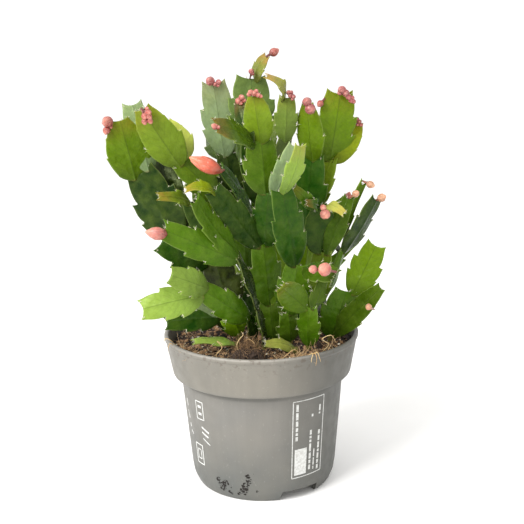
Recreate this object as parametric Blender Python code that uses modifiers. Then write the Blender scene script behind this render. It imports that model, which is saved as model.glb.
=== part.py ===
"""Christmas cactus (Schlumbergera) in a round plastic nursery pot.

Lengths in this file are millimetres from the pot's axis, on the surface that
it stands on, with the front at -Y. MM turns them into the scene's metres. The
empty pot_axis carries every node and puts the whole plant's box over the
origin, because the plant hangs out more on the left than on the right.
"""

import math
from dataclasses import dataclass

import bmesh
import bpy
from mathutils import Matrix, Vector

MM = 0.001
GAP = 0.3                        # kept between neighbouring nodes
AXIS_PLACE = (7.5, -6.0)         # the pot's axis, from the origin

# The pot
POT_HEIGHT = 95.0
RIM_RADIUS = 60.0
BAND_RADIUS = 55.3               # foot of the collar under the rim
BAND_FOOT = 71.0
BODY_RADIUS = 50.2               # top of the body under the collar
LOW_RADIUS = 45.3
FOOT_RADIUS = 41.5
WALL = 1.3
FOOT_WALL = 3.2
FLOOR = 6.0                      # underside of the floor
POT_STEPS = 36
FOOT_GAPS = (30.0, 150.0, 270.0)  # degrees, to the right from the front
FOOT_GAP_WIDTH = 25.0
FOOT_GAP_HEIGHT = 6.2
FOOT_GAP_DEPTH = 14.0            # of the block that cuts it
DRAIN_RADIUS = 4.0
DRAIN_DEPTH = 10.0               # of the cylinder that cuts it
DRAIN_CIRCLE = 24.0
DRAINS = 5

# The soil and the shoots' feet in it
SOIL_TOP = 88.6
SOIL_TILT = 0.022                # rise to the right and to the front
MOUND = (-5.0, 3.0)
MOUND_RISE = 4.5
MOUND_RADIUS = 11.0
PIN_RADIUS = 2.3
PIN_DEPTH = 11.0
PIN_STAND = 4.0
PIN_SIDES = 8
HOLE_CLEAR = 0.5                 # from a shoot's foot to its hole's wall
HOLE_LENGTH = 30.0               # of the cylinder that cuts it
SOIL_EDGE_DROP = 1.5             # of the soil at the pot's wall
SOIL_RINGS = 5
PAD_STAND = 2.0                  # height of the first pad's base over the soil
BUD_CLEAR = 0.6                  # from a pad's tip edge to its buds' foot
BUD_STAGGER = 0.7                # from one bud's foot to the next's, inside the first bud
SHARP_ANGLE = math.radians(40)

# A pad's outline: midrib place, margin place (both as shares of the length)
# and half-width share. Margin places ahead of the midrib's are claws.
OUTLINES = {
    "clawed": ((0.00, 0.00, 0.14), (0.14, 0.14, 0.62), (0.35, 0.41, 1.00), (0.42, 0.42, 0.86),
               (0.61, 0.68, 0.97), (0.69, 0.69, 0.78), (1.00, 1.05, 0.56)),
    "oval": ((0.00, 0.00, 0.14), (0.12, 0.12, 0.62), (0.42, 0.47, 1.00), (0.49, 0.49, 0.93),
             (0.74, 0.78, 0.76), (1.00, 1.02, 0.36)),
    "small": ((0.00, 0.00, 0.22), (0.28, 0.30, 0.84), (0.52, 0.60, 1.00), (0.62, 0.62, 0.80),
              (1.00, 1.06, 0.46)),
}
SMALL_WIDTH = 12.0               # pads up to this width take the small outline
RIB_THICKNESS = (3.0, 1.8)       # at the base and at the tip
MARGIN_THICKNESS = 0.9
JOINT_DEPTH = 1.6                # how far a pad's base is sunk into the pad below


@dataclass(frozen=True)
class Pad:
    """One flat stem segment.

    path: one letter for each pad from the root up, so "aba" grows on "ab".
    side: place on the parent's tip edge, -1 at its left horn to 1 at its right.
    tip: where the midrib ends.
    turn: degrees from facing the front, positive towards the right.
    bow: how far the middle bulges along its face; cup: how far its margins do.
    form: the outline that it takes, if it isn't a small one.
    """

    path: str
    side: float
    tip: tuple
    width: float
    turn: float = 0.0
    bow: float = 0.0
    cup: float = 0.0
    form: str = "clawed"

    def outline(self):
        """Return the outline that the pad takes."""
        return OUTLINES["small" if self.width <= SMALL_WIDTH else self.form]


@dataclass(frozen=True)
class Shoot:
    """A leafy shoot, which stands in the soil at root (x, y)."""

    name: str
    root: tuple
    colour: tuple
    pads: tuple


@dataclass(frozen=True)
class Bunch:
    """Buds on one pad, each as (its own tip, its width).

    side: as for a pad; back and lift: how far their seat is behind the tip
    edge and in front of the pad's face.
    """

    name: str
    shoot: str
    path: str
    side: float
    colour: tuple
    buds: tuple
    back: float = 0.0
    lift: float = 0.0


DARK = (0.045, 0.105, 0.022)
GREEN = (0.085, 0.200, 0.030)
BRIGHT = (0.160, 0.330, 0.045)
CORAL = (0.780, 0.170, 0.150)
PEACH = (0.850, 0.300, 0.140)
PINK = (0.850, 0.250, 0.280)

SHOOTS = (
    Shoot("shoot_front", (8, -10), BRIGHT, (
        Pad("a", 0, (6, -13, 115), 20, -15, 1),
        Pad("aa", -0.2, (2, -22, 153), 20, 20, 1),
        Pad("aaa", -0.4, (-24, -42, 188), 17, 10, -2),
        Pad("aaaa", -0.2, (-39, -46, 190), 9, 60, 3, 2),
        Pad("aab", 0.4, (6, -34, 185), 19, -20, 1),
        Pad("aaba", -0.4, (2, -30, 214), 23, 15, 1),
        Pad("aabaa", 0.1, (-1, -34, 239), 17, -10, 1, form="oval"),
        Pad("aabab", -0.8, (-10, -22, 235), 12, -30, 1),
        Pad("aabac", -0.6, (-21, -54, 225), 17, 60, 2),
        Pad("aabb", 0.5, (21, -36, 211), 15, 20, 1),
        Pad("aac", -0.1, (-4, -12, 170), 10, 0, 0),
        Pad("aaca", -0.3, (-20, -26, 198), 15, 70, 1),
        Pad("ab", 0.4, (13, -8, 152), 16, 30, 0),
    )),
    Shoot("shoot_front_fork", (2, -23), BRIGHT, (
        Pad("a", 0, (-2, -29, 116), 12, 75, 1),
        Pad("aa", 0, (-12, -38, 149), 13, 75, 1),
        Pad("aaa", -0.3, (-51, -54, 169), 17, 15, 2),
        Pad("aab", 0.3, (-34, -50, 184), 16, 50, -2),
    )),
    Shoot("shoot_front_right", (17, -18), BRIGHT, (
        Pad("a", 0, (16, -25, 112), 16, 25, 1),
        Pad("aa", 0.2, (22, -34, 143), 21, -15, 1),
        Pad("aaa", -0.3, (13, -46, 188), 20, 25, 1),
        Pad("aaaa", 0, (23, -52, 213), 13, 40, 2),
        Pad("aab", 0.6, (41, -54, 142), 15, -55, 1),
    )),
    Shoot("shoot_low", (28, -27), BRIGHT, (
        Pad("a", 0, (28, -38, 119), 14, -20, 1),
        Pad("aa", -0.3, (12, -52, 135), 17, 10, -3, form="oval"),
        Pad("ab", 0.5, (36, -37, 134), 10, 20, 0),
    )),
    Shoot("shoot_right_low", (42, -9), GREEN, (
        Pad("a", 0, (51, -16, 122), 23, 10, 1),
        Pad("aa", 0.7, (69, -14, 149), 19, -20, -1),
        Pad("b", 0, (69, -36, 129), 14, -25, -1, 1, form="oval"),
    )),
    Shoot("shoot_right", (38, 8), DARK, (
        Pad("a", 0, (39, 4, 113), 10, 50, 0),
        Pad("aa", 0, (50, -4, 144), 10, 50, 1),
        Pad("aaa", 0.4, (70, -4, 175), 17, 45, 1),
        Pad("aab", -0.6, (46, 12, 147), 12, 80, 1),
    )),
    Shoot("shoot_olive", (31, -1), DARK, (
        Pad("a", 0, (33, -6, 113), 16, 40, 0),
        Pad("aa", 0, (38, -10, 145), 17, -25, 0),
        Pad("aaa", -0.4, (36, -14, 174), 22, 20, 0, form="oval"),
        Pad("aaaa", -0.6, (28, -26, 178), 7, 50, 2, 1),
        Pad("aaab", 0.9, (49, -22, 171), 8, -50, 3, 1),
        Pad("aaac", -0.9, (21, -24, 186), 8, 20, 2, 1),
        Pad("aab", 0.4, (53, -10, 177), 12, -10, 1),
        Pad("aac", 0.8, (62, -2, 184), 9, 30, 0),
    )),
    Shoot("shoot_tall_right", (24, 10), GREEN, (
        Pad("a", 0, (25, 14, 118), 16, -40, 1),
        Pad("aa", 0, (31, 15, 155), 17, 30, 1),
        Pad("aaa", -0.4, (33, 8, 199), 22, -15, 1),
        Pad("aaaa", 0.1, (30, -2, 232), 17, -20, 1, form="oval"),
        Pad("aab", 0.4, (35, 16, 167), 13, 0, 1),
        Pad("aaba", 0.1, (45, 18, 197), 13, -25, 1),
        Pad("aabaa", -0.3, (50, 12, 237), 27, 15, 1),
        Pad("aabab", 0.5, (62, 26, 219), 18, -25, 1, form="oval"),
    )),
    Shoot("shoot_crown", (-3, 10), GREEN, (
        Pad("a", 0, (-6, 14, 128), 18, 45, 1),
        Pad("aa", -0.4, (-9, 14, 166), 20, -15, 1),
        Pad("aaa", -0.4, (-19, 12, 202), 18, -5, 1),
        Pad("aaaa", -0.2, (-25, 10, 244), 23, -15, -1),
        Pad("aaab", -0.8, (-29, 30, 211), 12, 10, 2),
        Pad("ab", 0.5, (2, 12, 172), 18, -45, 1),
        Pad("aba", -0.4, (-4, 8, 212), 19, 30, 1),
        Pad("abaa", 0, (-3, 12, 247), 29, 15, 1),
        Pad("abaaa", 0.4, (6, 8, 260), 12, -50, 2, 1),
        Pad("abb", 0.6, (17, 4, 211), 14, 25, 1),
        Pad("abba", 0, (18, -2, 236), 14, 5, 1),
        Pad("abbaa", -0.7, (7, -8, 249), 9, 60, 5, 1),
    )),
    Shoot("shoot_left", (-14, -3), DARK, (
        Pad("a", 0, (-19, -4, 111), 17, 30, 1),
        Pad("aa", -0.2, (-26, -4, 140), 26, -15, 1),
        Pad("aaa", -0.7, (-57, -16, 155), 23, 20, 2),
        Pad("aab", -0.3, (-49, -4, 155), 15, 0, 0),
        Pad("aaba", -0.4, (-70, 2, 193), 31, -15, 1),
        Pad("aabaa", -0.6, (-80, -4, 225), 27, 15, 2, form="oval"),
        Pad("aabab", 0.6, (-74, 10, 233), 19, 10, 1),
        Pad("aabb", 0.6, (-58, 12, 201), 19, -20, 1),
        Pad("aac", 0.1, (-40, -12, 177), 15, 5, 1),
        Pad("aaca", 0, (-56, -30, 184), 9, 50, 3, 2),
        Pad("aad", 0.6, (-22, -2, 179), 17, -30, 1),
        Pad("aada", -0.4, (-45, -6, 200), 19, 30, 1),
        Pad("aadaa", -0.3, (-65, -14, 232), 24, -10, 1, form="oval"),
        Pad("aadab", 0.8, (-54, 2, 223), 21, 25, 1, form="oval"),
    )),
    Shoot("shoot_step", (-3, -17), BRIGHT, (
        Pad("a", 0, (-7, -25, 110), 9, 50, 0),
        Pad("aa", -0.2, (-32, -41, 131), 17, 20, 2),
        Pad("aaa", 0.4, (-49, -52, 143), 16, 25, 2),
        Pad("aab", -0.5, (-66, -48, 123), 19, 25, 2),
    )),
    Shoot("shoot_low_left", (-15, 6), GREEN, (
        Pad("a", 0, (-26, 2, 103), 10, 20, 0),
        Pad("aa", -0.2, (-57, -9, 103), 15, 45, 1),
        Pad("ab", 0.6, (-42, 6, 112), 14, 40, 1),
    )),
    Shoot("shoot_soil_left", (-15, -21), BRIGHT, (
        Pad("a", 0, (-39, -28, 97), 9, 75, 2),
    )),
    Shoot("shoot_soil_front", (20, -31), BRIGHT, (
        Pad("a", 0, (3, -35, 97), 9, 60, 2, 1),
    )),
    Shoot("shoot_back_left", (-22, 20), GREEN, (
        Pad("a", 0, (-27, 24, 120), 18, 50, -1),
        Pad("aa", 0, (-34, 32, 150), 20, 50, -1),
        Pad("aaa", -0.5, (-57, 38, 178), 19, 50, -2),
        Pad("aaaa", 0, (-61, 34, 207), 18, 75, -1, form="oval"),
        Pad("aab", 0.6, (-33, 44, 189), 23, -15, -1),
        Pad("ab", -0.6, (-44, 18, 144), 17, 65, -1),
        Pad("aba", -0.1, (-62, 22, 170), 19, 50, -2),
    )),
    Shoot("shoot_back", (0, 29), DARK, (
        Pad("a", 0, (-1, 35, 121), 19, 30, -1),
        Pad("aa", 0, (-4, 41, 156), 21, -20, -1),
        Pad("aaa", -0.5, (-15, 52, 187), 18, 70, -1),
        Pad("aaaa", 0, (-14, 50, 216), 17, 50, -1, form="oval"),
        Pad("aab", 0.5, (4, 44, 190), 19, -40, -1),
        Pad("aaba", 0, (14, 38, 222), 18, -65, 1),
        Pad("ab", 0.6, (14, 49, 146), 17, -20, -2),
        Pad("aba", 0, (22, 66, 166), 18, 20, -3),
    )),
    Shoot("shoot_back_right", (27, 27), GREEN, (
        Pad("a", 0, (31, 31, 120), 18, -60, -1),
        Pad("aa", 0, (37, 39, 152), 20, -75, -1),
        Pad("aaa", -0.2, (38, 44, 184), 19, 55, -1),
        Pad("aaaa", 0, (36, 38, 214), 18, -70, -1, form="oval"),
        Pad("aab", 0.6, (56, 38, 167), 18, -50, -2),
        Pad("ab", 0.6, (52, 26, 134), 17, -60, -1),
        Pad("aba", 0, (66, 30, 158), 18, -75, -2, form="oval"),
    )),
    Shoot("shoot_back_low", (-8, 42), BRIGHT, (
        Pad("a", 0, (-11, 51, 110), 13, 10, -2),
        Pad("aa", -0.6, (-30, 66, 122), 17, 15, -3),
        Pad("ab", 0.6, (3, 70, 117), 16, -15, -3),
    )),
)

BUNCHES = (
    Bunch("buds_left_corner", "shoot_left", "aabaa", -1.3, CORAL, (
        ((-88, -6, 228), 5), ((-90, -8, 219), 3.6)), back=-0.4),
    Bunch("buds_left_top", "shoot_left", "aadaa", 0.0, CORAL, (
        ((-67, -20, 230), 4), ((-61, -20, 231), 4), ((-64, -23, 224), 4)), lift=1.5),
    Bunch("buds_crown_left", "shoot_crown", "aaaa", -0.1, CORAL, (
        ((-29, 7, 250), 4.4), ((-21, 8, 248), 3.2)), back=-0.6),
    Bunch("buds_crown", "shoot_crown", "abaa", -0.1, CORAL, (((-4, 5, 253), 3.2),), back=-0.2, lift=1.6),
    Bunch("bud_summit", "shoot_crown", "abaaa", 0.6, CORAL, (((14, 7, 264), 4.4),), back=-0.8),
    Bunch("buds_crown_front", "shoot_front", "aabaa", 0.1, CORAL, (
        ((-6, -37, 243), 3.4), ((-1, -36, 245), 3.4), ((4, -37, 242), 3.4)), back=-0.6),
    Bunch("buds_crown_side", "shoot_front", "aabab", 0.0, CORAL, (
        ((-13, -25, 240), 3.2), ((-8, -25, 241), 3.2)), back=-1.3),
    Bunch("bud_front_left", "shoot_front", "aabac", -0.3, CORAL, (((-27, -57, 226), 3.4),)),
    Bunch("buds_crown_right", "shoot_crown", "abba", 0.9, PINK, (
        ((18, -7, 241), 2.8), ((23, -6, 240), 2.8)), back=-1.4),
    Bunch("buds_right_pair", "shoot_tall_right", "aaaa", 0.0, PINK, (
        ((28, -8, 241), 5.2), ((32, -12, 228), 5.4)), lift=1.5),
    Bunch("buds_right_top", "shoot_tall_right", "aabaa", 0.5, CORAL, (
        ((49, 10, 242), 4), ((54, 8, 241), 4), ((59, 6, 237), 4)), back=-1.8),
    Bunch("bud_right_edge", "shoot_tall_right", "aabaa", -1.2, CORAL, (((36, 9, 231), 3.4),), back=4.0),
    Bunch("buds_right_corner", "shoot_tall_right", "aabab", 0.2, PINK, (
        ((60, 22, 224), 3), ((66, 22, 221), 3)), back=-0.8),
    Bunch("bud_large", "shoot_front", "aaca", 0.0, PEACH, (((-40, -38, 205), 8),)),
    Bunch("bud_fork", "shoot_front_fork", "aaa", 0.0, PINK, (((-64, -59, 169), 7.2),), back=-1.6),
    Bunch("bud_olive", "shoot_olive", "aab", 0.2, PEACH, (((58, -13, 184), 4.4),), back=-0.4),
    Bunch("bud_olive_tip", "shoot_olive", "aac", 0.0, PEACH, (((70, -5, 186), 4),), back=-1.8),
    Bunch("bud_right", "shoot_right", "aaa", 0.2, PEACH, (((76, -6, 180), 4.6),)),
    Bunch("buds_young", "shoot_olive", "aaa", 0.0, PINK, (
        ((37, -28, 169), 5), ((36, -25, 179), 3.6)), lift=2.4),
    Bunch("buds_low_right", "shoot_front_right", "aab", -0.3, CORAL, (
        ((31, -62, 147), 6), ((26, -61, 147), 3.6)), lift=1.5),
    Bunch("bud_low_edge", "shoot_right_low", "b", 2.5, PEACH, (((62, -44, 119), 3.6),), back=14.0),
    Bunch("buds_back_left", "shoot_back_left", "aaaa", 0.0, CORAL, (
        ((-61, 34, 214), 4.6), ((-56, 38, 214), 3.4))),
    Bunch("buds_back", "shoot_back", "aaaa", 0.1, CORAL, (((-16, 53, 222), 4.6), ((-10, 50, 221), 4))),
    Bunch("bud_back_middle", "shoot_back", "aba", 0.0, PINK, (((25, 74, 174), 6.4),)),
    Bunch("buds_back_right", "shoot_back_right", "aab", 0.0, CORAL, (
        ((59, 39, 174), 4.4), ((62, 42, 171), 3.4))),
    Bunch("bud_back_low", "shoot_back_low", "aa", 0.0, PEACH, (((-36, 74, 127), 6),)),
)


def clear_scene():
    """Remove every object that the file holds."""
    for thing in list(bpy.data.objects):
        bpy.data.objects.remove(thing)


def new_collection(name):
    """Return a new collection linked to the scene."""
    collection = bpy.data.collections.new(name)
    bpy.context.scene.collection.children.link(collection)
    return collection


def material(name, colour, roughness, metallic=0.0):
    """Return a Principled material of one colour."""
    made = bpy.data.materials.new(name)
    made.use_nodes = True
    shader = made.node_tree.nodes["Principled BSDF"]
    shader.inputs["Base Color"].default_value = (*colour, 1.0)
    shader.inputs["Roughness"].default_value = roughness
    shader.inputs["Metallic"].default_value = metallic
    return made


def mesh_object(name, shape, collection, origin=(0.0, 0.0, 0.0)):
    """Put a bmesh of millimetres into a new object of metres, placed at its origin."""
    bmesh.ops.translate(shape, vec=-Vector(origin), verts=shape.verts)
    bmesh.ops.scale(shape, vec=(MM, MM, MM), verts=shape.verts)
    mesh = bpy.data.meshes.new(name)
    shape.to_mesh(mesh)
    shape.free()
    thing = bpy.data.objects.new(name, mesh)
    thing.location = Vector(origin) * MM
    collection.objects.link(thing)
    return thing


def apply_modifiers(thing):
    """Turn an object's modifiers into its mesh."""
    bpy.context.view_layer.update()
    evaluated = thing.evaluated_get(bpy.context.evaluated_depsgraph_get())
    thing.data = bpy.data.meshes.new_from_object(evaluated)
    thing.modifiers.clear()


def combine(thing, others, operation):
    """Join others to an object, or cut them from it, and remove them."""
    group = bpy.data.collections.new("operands")
    for other in others:
        group.objects.link(other)
    boolean = thing.modifiers.new("combine", "BOOLEAN")
    boolean.operation = operation
    boolean.operand_type = "COLLECTION"
    boolean.collection = group
    apply_modifiers(thing)
    for other in others:
        bpy.data.objects.remove(other)
    bpy.data.collections.remove(group)


def turned(name, profile, steps, collection):
    """Turn a profile of (radius, height) about the pot's axis."""
    shape = bmesh.new()
    corners = [shape.verts.new((radius, 0.0, height)) for radius, height in profile]
    for first, second in zip(corners, corners[1:]):
        shape.edges.new((first, second))
    thing = mesh_object(name, shape, collection)
    screw = thing.modifiers.new("turn", "SCREW")
    screw.steps = screw.render_steps = steps
    screw.use_merge_vertices = True
    screw.merge_threshold = 0.00001
    apply_modifiers(thing)
    return thing


def finish(thing, paint, axis):
    """Give a node its material, its shading and its parent."""
    thing.data.materials.clear()
    thing.data.materials.append(paint)
    thing.data.shade_smooth()
    thing.data.set_sharp_from_angle(angle=SHARP_ANGLE)
    thing.parent = axis


def pot_inside():
    """Return the pot's inner side as (radius, height), from the floor up."""
    return [
        (LOW_RADIUS - WALL - 2.0, FLOOR + WALL),
        (LOW_RADIUS - WALL, 12.0),
        (BODY_RADIUS - WALL, BAND_FOOT - 1.0),
        (BAND_RADIUS - WALL, BAND_FOOT + 1.5),
        (RIM_RADIUS - WALL - 1.4, POT_HEIGHT - 1.0),
    ]


def build_pot(parts, cutters, axis):
    """The pot: one turned shell with gaps in its foot and drains in its floor."""
    rim = [(RIM_RADIUS - WALL - 0.9, POT_HEIGHT), (RIM_RADIUS - 0.5, POT_HEIGHT),
           (RIM_RADIUS, POT_HEIGHT - 0.6), (RIM_RADIUS, POT_HEIGHT - 2.4),
           (RIM_RADIUS - 0.8, POT_HEIGHT - 3.2)]
    outside = [(BAND_RADIUS, BAND_FOOT), (BAND_RADIUS - 0.6, BAND_FOOT - 0.8),
               (BODY_RADIUS + 0.8, BAND_FOOT - 1.8), (BODY_RADIUS, BAND_FOOT - 3.0),
               (LOW_RADIUS, 12.0), (LOW_RADIUS - 0.9, 6.0), (FOOT_RADIUS + 1.0, 1.6), (FOOT_RADIUS, 0.0)]
    underside = [(FOOT_RADIUS - FOOT_WALL, 0.0), (FOOT_RADIUS - FOOT_WALL, FLOOR), (0.0, FLOOR)]
    profile = [(0.0, FLOOR + WALL)] + pot_inside() + rim + outside + underside
    pot = turned("pot", profile, POT_STEPS, parts)

    for number, angle in enumerate(FOOT_GAPS):
        bpy.ops.mesh.primitive_cube_add(size=1.0)
        gap = bpy.context.object
        gap.name = f"foot_gap_{number}"
        gap.scale = (FOOT_GAP_WIDTH * MM, FOOT_GAP_DEPTH * MM, 2.0 * FOOT_GAP_HEIGHT * MM)
        turn = math.radians(angle)
        gap.rotation_euler.z = turn
        gap.location = (FOOT_RADIUS * MM * math.sin(turn), -FOOT_RADIUS * MM * math.cos(turn), 0.0)
        keep_as_cutter(gap, cutters, axis)
    for number in range(DRAINS):
        turn = math.tau * number / DRAINS
        bpy.ops.mesh.primitive_cylinder_add(vertices=12, radius=DRAIN_RADIUS * MM, depth=DRAIN_DEPTH * MM)
        drain = bpy.context.object
        drain.name = f"drain_{number}"
        drain.location = (DRAIN_CIRCLE * MM * math.sin(turn), DRAIN_CIRCLE * MM * math.cos(turn), FLOOR * MM)
        keep_as_cutter(drain, cutters, axis)
    cut = pot.modifiers.new("foot_gaps_and_drains", "BOOLEAN")
    cut.operation = "DIFFERENCE"
    cut.operand_type = "COLLECTION"
    cut.collection = cutters
    finish(pot, material("pot_plastic", (0.31, 0.29, 0.25), 0.55), axis)


def keep_as_cutter(thing, cutters, axis):
    """Move an object among the cutters, out of the render."""
    for collection in thing.users_collection:
        collection.objects.unlink(thing)
    cutters.objects.link(thing)
    thing.hide_render = True
    thing.display_type = "WIRE"
    thing.parent = axis


def soil_height(x, y):
    """Return the soil's height at a place."""
    waves = 0.9 * math.sin(0.19 * x + 0.8) * math.cos(0.16 * y) + 0.5 * math.sin(0.37 * x - 0.31 * y)
    mound = MOUND_RISE * math.exp(-((x - MOUND[0]) ** 2 + (y - MOUND[1]) ** 2) / MOUND_RADIUS ** 2)
    return SOIL_TOP + SOIL_TILT * (x - y) + waves + mound


def build_soil(parts, axis):
    """The soil: it fills the pot, and each shoot stands in a hole in it."""
    inside = pot_inside()
    side = [(radius - GAP, height) for radius, height in inside]
    side[0] = (side[0][0], side[0][1] + GAP)
    (low_r, low_z), (high_r, high_z) = side[-2:]
    edge_z = SOIL_TOP - SOIL_EDGE_DROP
    edge = low_r + (high_r - low_r) * (edge_z - low_z) / (high_z - low_z)
    side[-1] = (edge, edge_z)
    top = [(edge * ring / SOIL_RINGS, SOIL_TOP) for ring in range(SOIL_RINGS)]
    profile = top + side[::-1] + [(0.0, side[0][1])]
    soil = turned("soil", profile, POT_STEPS, parts)
    for corner in soil.data.vertices:
        if corner.co.z > (SOIL_TOP - 0.5) * MM:
            corner.co.z = soil_height(corner.co.x / MM, corner.co.y / MM) * MM
    holes = []
    for shoot in SHOOTS:
        x, y = shoot.root
        bottom = soil_height(x, y) - PIN_DEPTH - GAP
        radius = PIN_RADIUS + HOLE_CLEAR
        shape = bmesh.new()
        bmesh.ops.create_cone(
            shape, cap_ends=True, segments=PIN_SIDES, radius1=radius, radius2=radius, depth=HOLE_LENGTH,
            matrix=Matrix.Translation((x, y, bottom + 0.5 * HOLE_LENGTH)))
        holes.append(mesh_object("hole", shape, parts))
    combine(soil, holes, "DIFFERENCE")
    finish(soil, material("potting_soil", (0.035, 0.020, 0.012), 0.95), axis)


def pad_frame(pad, base):
    """Return a pad's length, direction, face and sideways axis."""
    along = Vector(pad.tip) - base
    length = along.length
    along.normalize()
    face = Vector((0.0, -1.0, 0.0))
    face -= face.dot(along) * along
    face.normalize()
    face = Matrix.Rotation(math.radians(pad.turn), 3, along) @ face
    return length, along, face, face.cross(along) * -1.0


def tip_edge(pad, frame, side, depth):
    """Return the point at a share of a pad's tip edge, sunk by depth into it."""
    _, along, _, across = frame
    half = 0.5 * pad.width * pad.outline()[-1][2]
    return Vector(pad.tip) + across * (side * half) - along * depth


def pad_shape(pad, base, frame):
    """Loft one pad through the rows of its outline."""
    length, along, face, across = frame
    shape = bmesh.new()
    rows = []
    for rib_place, margin_place, share in pad.outline():
        rib_half = 0.5 * (RIB_THICKNESS[0] + (RIB_THICKNESS[1] - RIB_THICKNESS[0]) * rib_place)
        margin_half = 0.5 * MARGIN_THICKNESS
        half_width = 0.5 * pad.width * share
        lift = pad.cup * share ** 2
        places = ((-half_width, margin_place, lift, margin_half), (0.0, rib_place, 0.0, rib_half),
                  (half_width, margin_place, lift, margin_half))
        front, back = [], []
        for sideways, place, raised, half in places:
            bulge = pad.bow * 4.0 * place * (1.0 - place) + raised
            middle = base + along * (length * place) + across * sideways + face * bulge
            front.append(shape.verts.new(middle + face * half))
            back.append(shape.verts.new(middle - face * half))
        rows.append(front + back[::-1])
    for low, high in zip(rows, rows[1:]):
        for number in range(6):
            after = (number + 1) % 6
            shape.faces.new((low[number], low[after], high[after], high[number]))
    for row, order in ((rows[0], 1), (rows[-1], -1)):
        for quad in ((row[0], row[5], row[4], row[1]), (row[1], row[4], row[3], row[2])):
            shape.faces.new(quad[::order])
    bmesh.ops.recalc_face_normals(shape, faces=shape.faces)
    return shape


def build_shoot(shoot, parts, axis):
    """One shoot: its foot in the soil and all its pads, grown into one body."""
    x, y = shoot.root
    ground = soil_height(x, y)
    root = Vector((x, y, ground))
    shape = bmesh.new()
    bmesh.ops.create_cone(
        shape, cap_ends=True, segments=PIN_SIDES, radius1=PIN_RADIUS, radius2=PIN_RADIUS * 0.75,
        depth=PIN_DEPTH + PIN_STAND, matrix=Matrix.Translation((x, y, ground + 0.5 * (PIN_STAND - PIN_DEPTH))))
    foot = mesh_object(shoot.name, shape, parts, root)
    frames = {}
    pads = []
    for pad in shoot.pads:
        if len(pad.path) == 1:
            base = root + Vector((0.0, 0.0, PAD_STAND))
        else:
            parent, frame = frames[pad.path[:-1]]
            base = tip_edge(parent, frame, pad.side, JOINT_DEPTH)
        frame = pad_frame(pad, base)
        frames[pad.path] = (pad, frame)
        pads.append(mesh_object(pad.path, pad_shape(pad, base, frame), parts, root))
    combine(foot, pads, "UNION")
    finish(foot, material(shoot.name + "_skin", shoot.colour, 0.42), axis)
    return frames


def build_bunch(bunch, frames, parts, axis):
    """Buds that sprout together from one pad's tip edge."""
    pad, frame = frames[bunch.shoot][bunch.path]
    seat = tip_edge(pad, frame, bunch.side, bunch.back - BUD_CLEAR) + frame[2] * bunch.lift
    first_way = (Vector(bunch.buds[0][0]) - seat).normalized()
    buds = []
    for number, (tip, width) in enumerate(bunch.buds):
        start = seat + first_way * (BUD_STAGGER * number)
        reach = Vector(tip) - start
        shape = bmesh.new()
        bmesh.ops.create_uvsphere(shape, u_segments=6, v_segments=4, radius=0.5)
        bmesh.ops.scale(shape, vec=(width, width, reach.length), verts=shape.verts)
        place = Matrix.Translation(start + 0.5 * reach) @ reach.to_track_quat("Z", "Y").to_matrix().to_4x4()
        bmesh.ops.transform(shape, matrix=place, verts=shape.verts)
        buds.append(mesh_object(bunch.name, shape, parts, seat))
    first = buds.pop(0)
    if buds:
        combine(first, buds, "UNION")
    first.name = bunch.name
    finish(first, material(bunch.name + "_skin", bunch.colour, 0.35), axis)


def main():
    """Build the pot, the soil, the shoots and their buds."""
    clear_scene()
    parts = new_collection("potted_christmas_cactus")
    cutters = new_collection("cutters")
    axis = bpy.data.objects.new("pot_axis", None)
    axis.location = (AXIS_PLACE[0] * MM, AXIS_PLACE[1] * MM, 0.0)
    parts.objects.link(axis)
    build_pot(parts, cutters, axis)
    build_soil(parts, axis)
    frames = {shoot.name: build_shoot(shoot, parts, axis) for shoot in SHOOTS}
    for bunch in BUNCHES:
        build_bunch(bunch, frames, parts, axis)


main()
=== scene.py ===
"""Looks of the Christmas cactus in its grey nursery pot.

Lengths are millimetres from the pot's axis, on the surface that it stands on,
with the front at -Y. Scene.place turns them into the frame's metres.
"""

import logging
import math
from collections.abc import Iterable, Sequence
from dataclasses import dataclass, field
from enum import Enum
from typing import Any

import bmesh
import bpy
import numpy as np
from mathutils import Matrix, Vector, noise

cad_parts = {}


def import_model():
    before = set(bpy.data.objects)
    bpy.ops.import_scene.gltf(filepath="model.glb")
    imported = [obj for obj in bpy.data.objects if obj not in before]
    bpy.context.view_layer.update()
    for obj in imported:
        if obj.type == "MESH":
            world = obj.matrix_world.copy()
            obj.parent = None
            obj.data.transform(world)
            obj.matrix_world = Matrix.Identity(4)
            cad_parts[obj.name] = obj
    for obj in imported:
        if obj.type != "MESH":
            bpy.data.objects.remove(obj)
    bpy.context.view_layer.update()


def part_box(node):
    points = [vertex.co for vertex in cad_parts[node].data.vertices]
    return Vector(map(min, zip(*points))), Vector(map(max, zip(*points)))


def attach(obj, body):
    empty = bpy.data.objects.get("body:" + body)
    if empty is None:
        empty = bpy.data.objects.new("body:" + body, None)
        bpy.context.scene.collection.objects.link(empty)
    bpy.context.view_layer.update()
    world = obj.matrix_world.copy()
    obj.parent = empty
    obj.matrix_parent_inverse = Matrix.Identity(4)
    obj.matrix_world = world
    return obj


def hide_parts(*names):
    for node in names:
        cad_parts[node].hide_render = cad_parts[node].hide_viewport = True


LOG = logging.getLogger("christmas_cactus")
MM = 0.001
BODY = "root"

# Sockets of the Mix node's two colours and of its mixed colour.
MIX_BASE, MIX_OVER, MIX_RESULT = 6, 7, 2
# Sockets of the Random Value node's least and greatest number, and of the number. Its vectors are at 0, 1 and 0.
LEAST, MOST, NUMBER = 2, 3, 1

Point = tuple[float, float, float]
# By property name, socket name or socket number: a value, a socket, or a node that gives its first output.
Settings = dict[int | str, Any]
# A socket, or a smooth fade of one: the socket, where the fade starts and ends, and its values there.
Factor = bpy.types.NodeSocket | tuple[bpy.types.NodeSocket, float, float, float, float]


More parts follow.
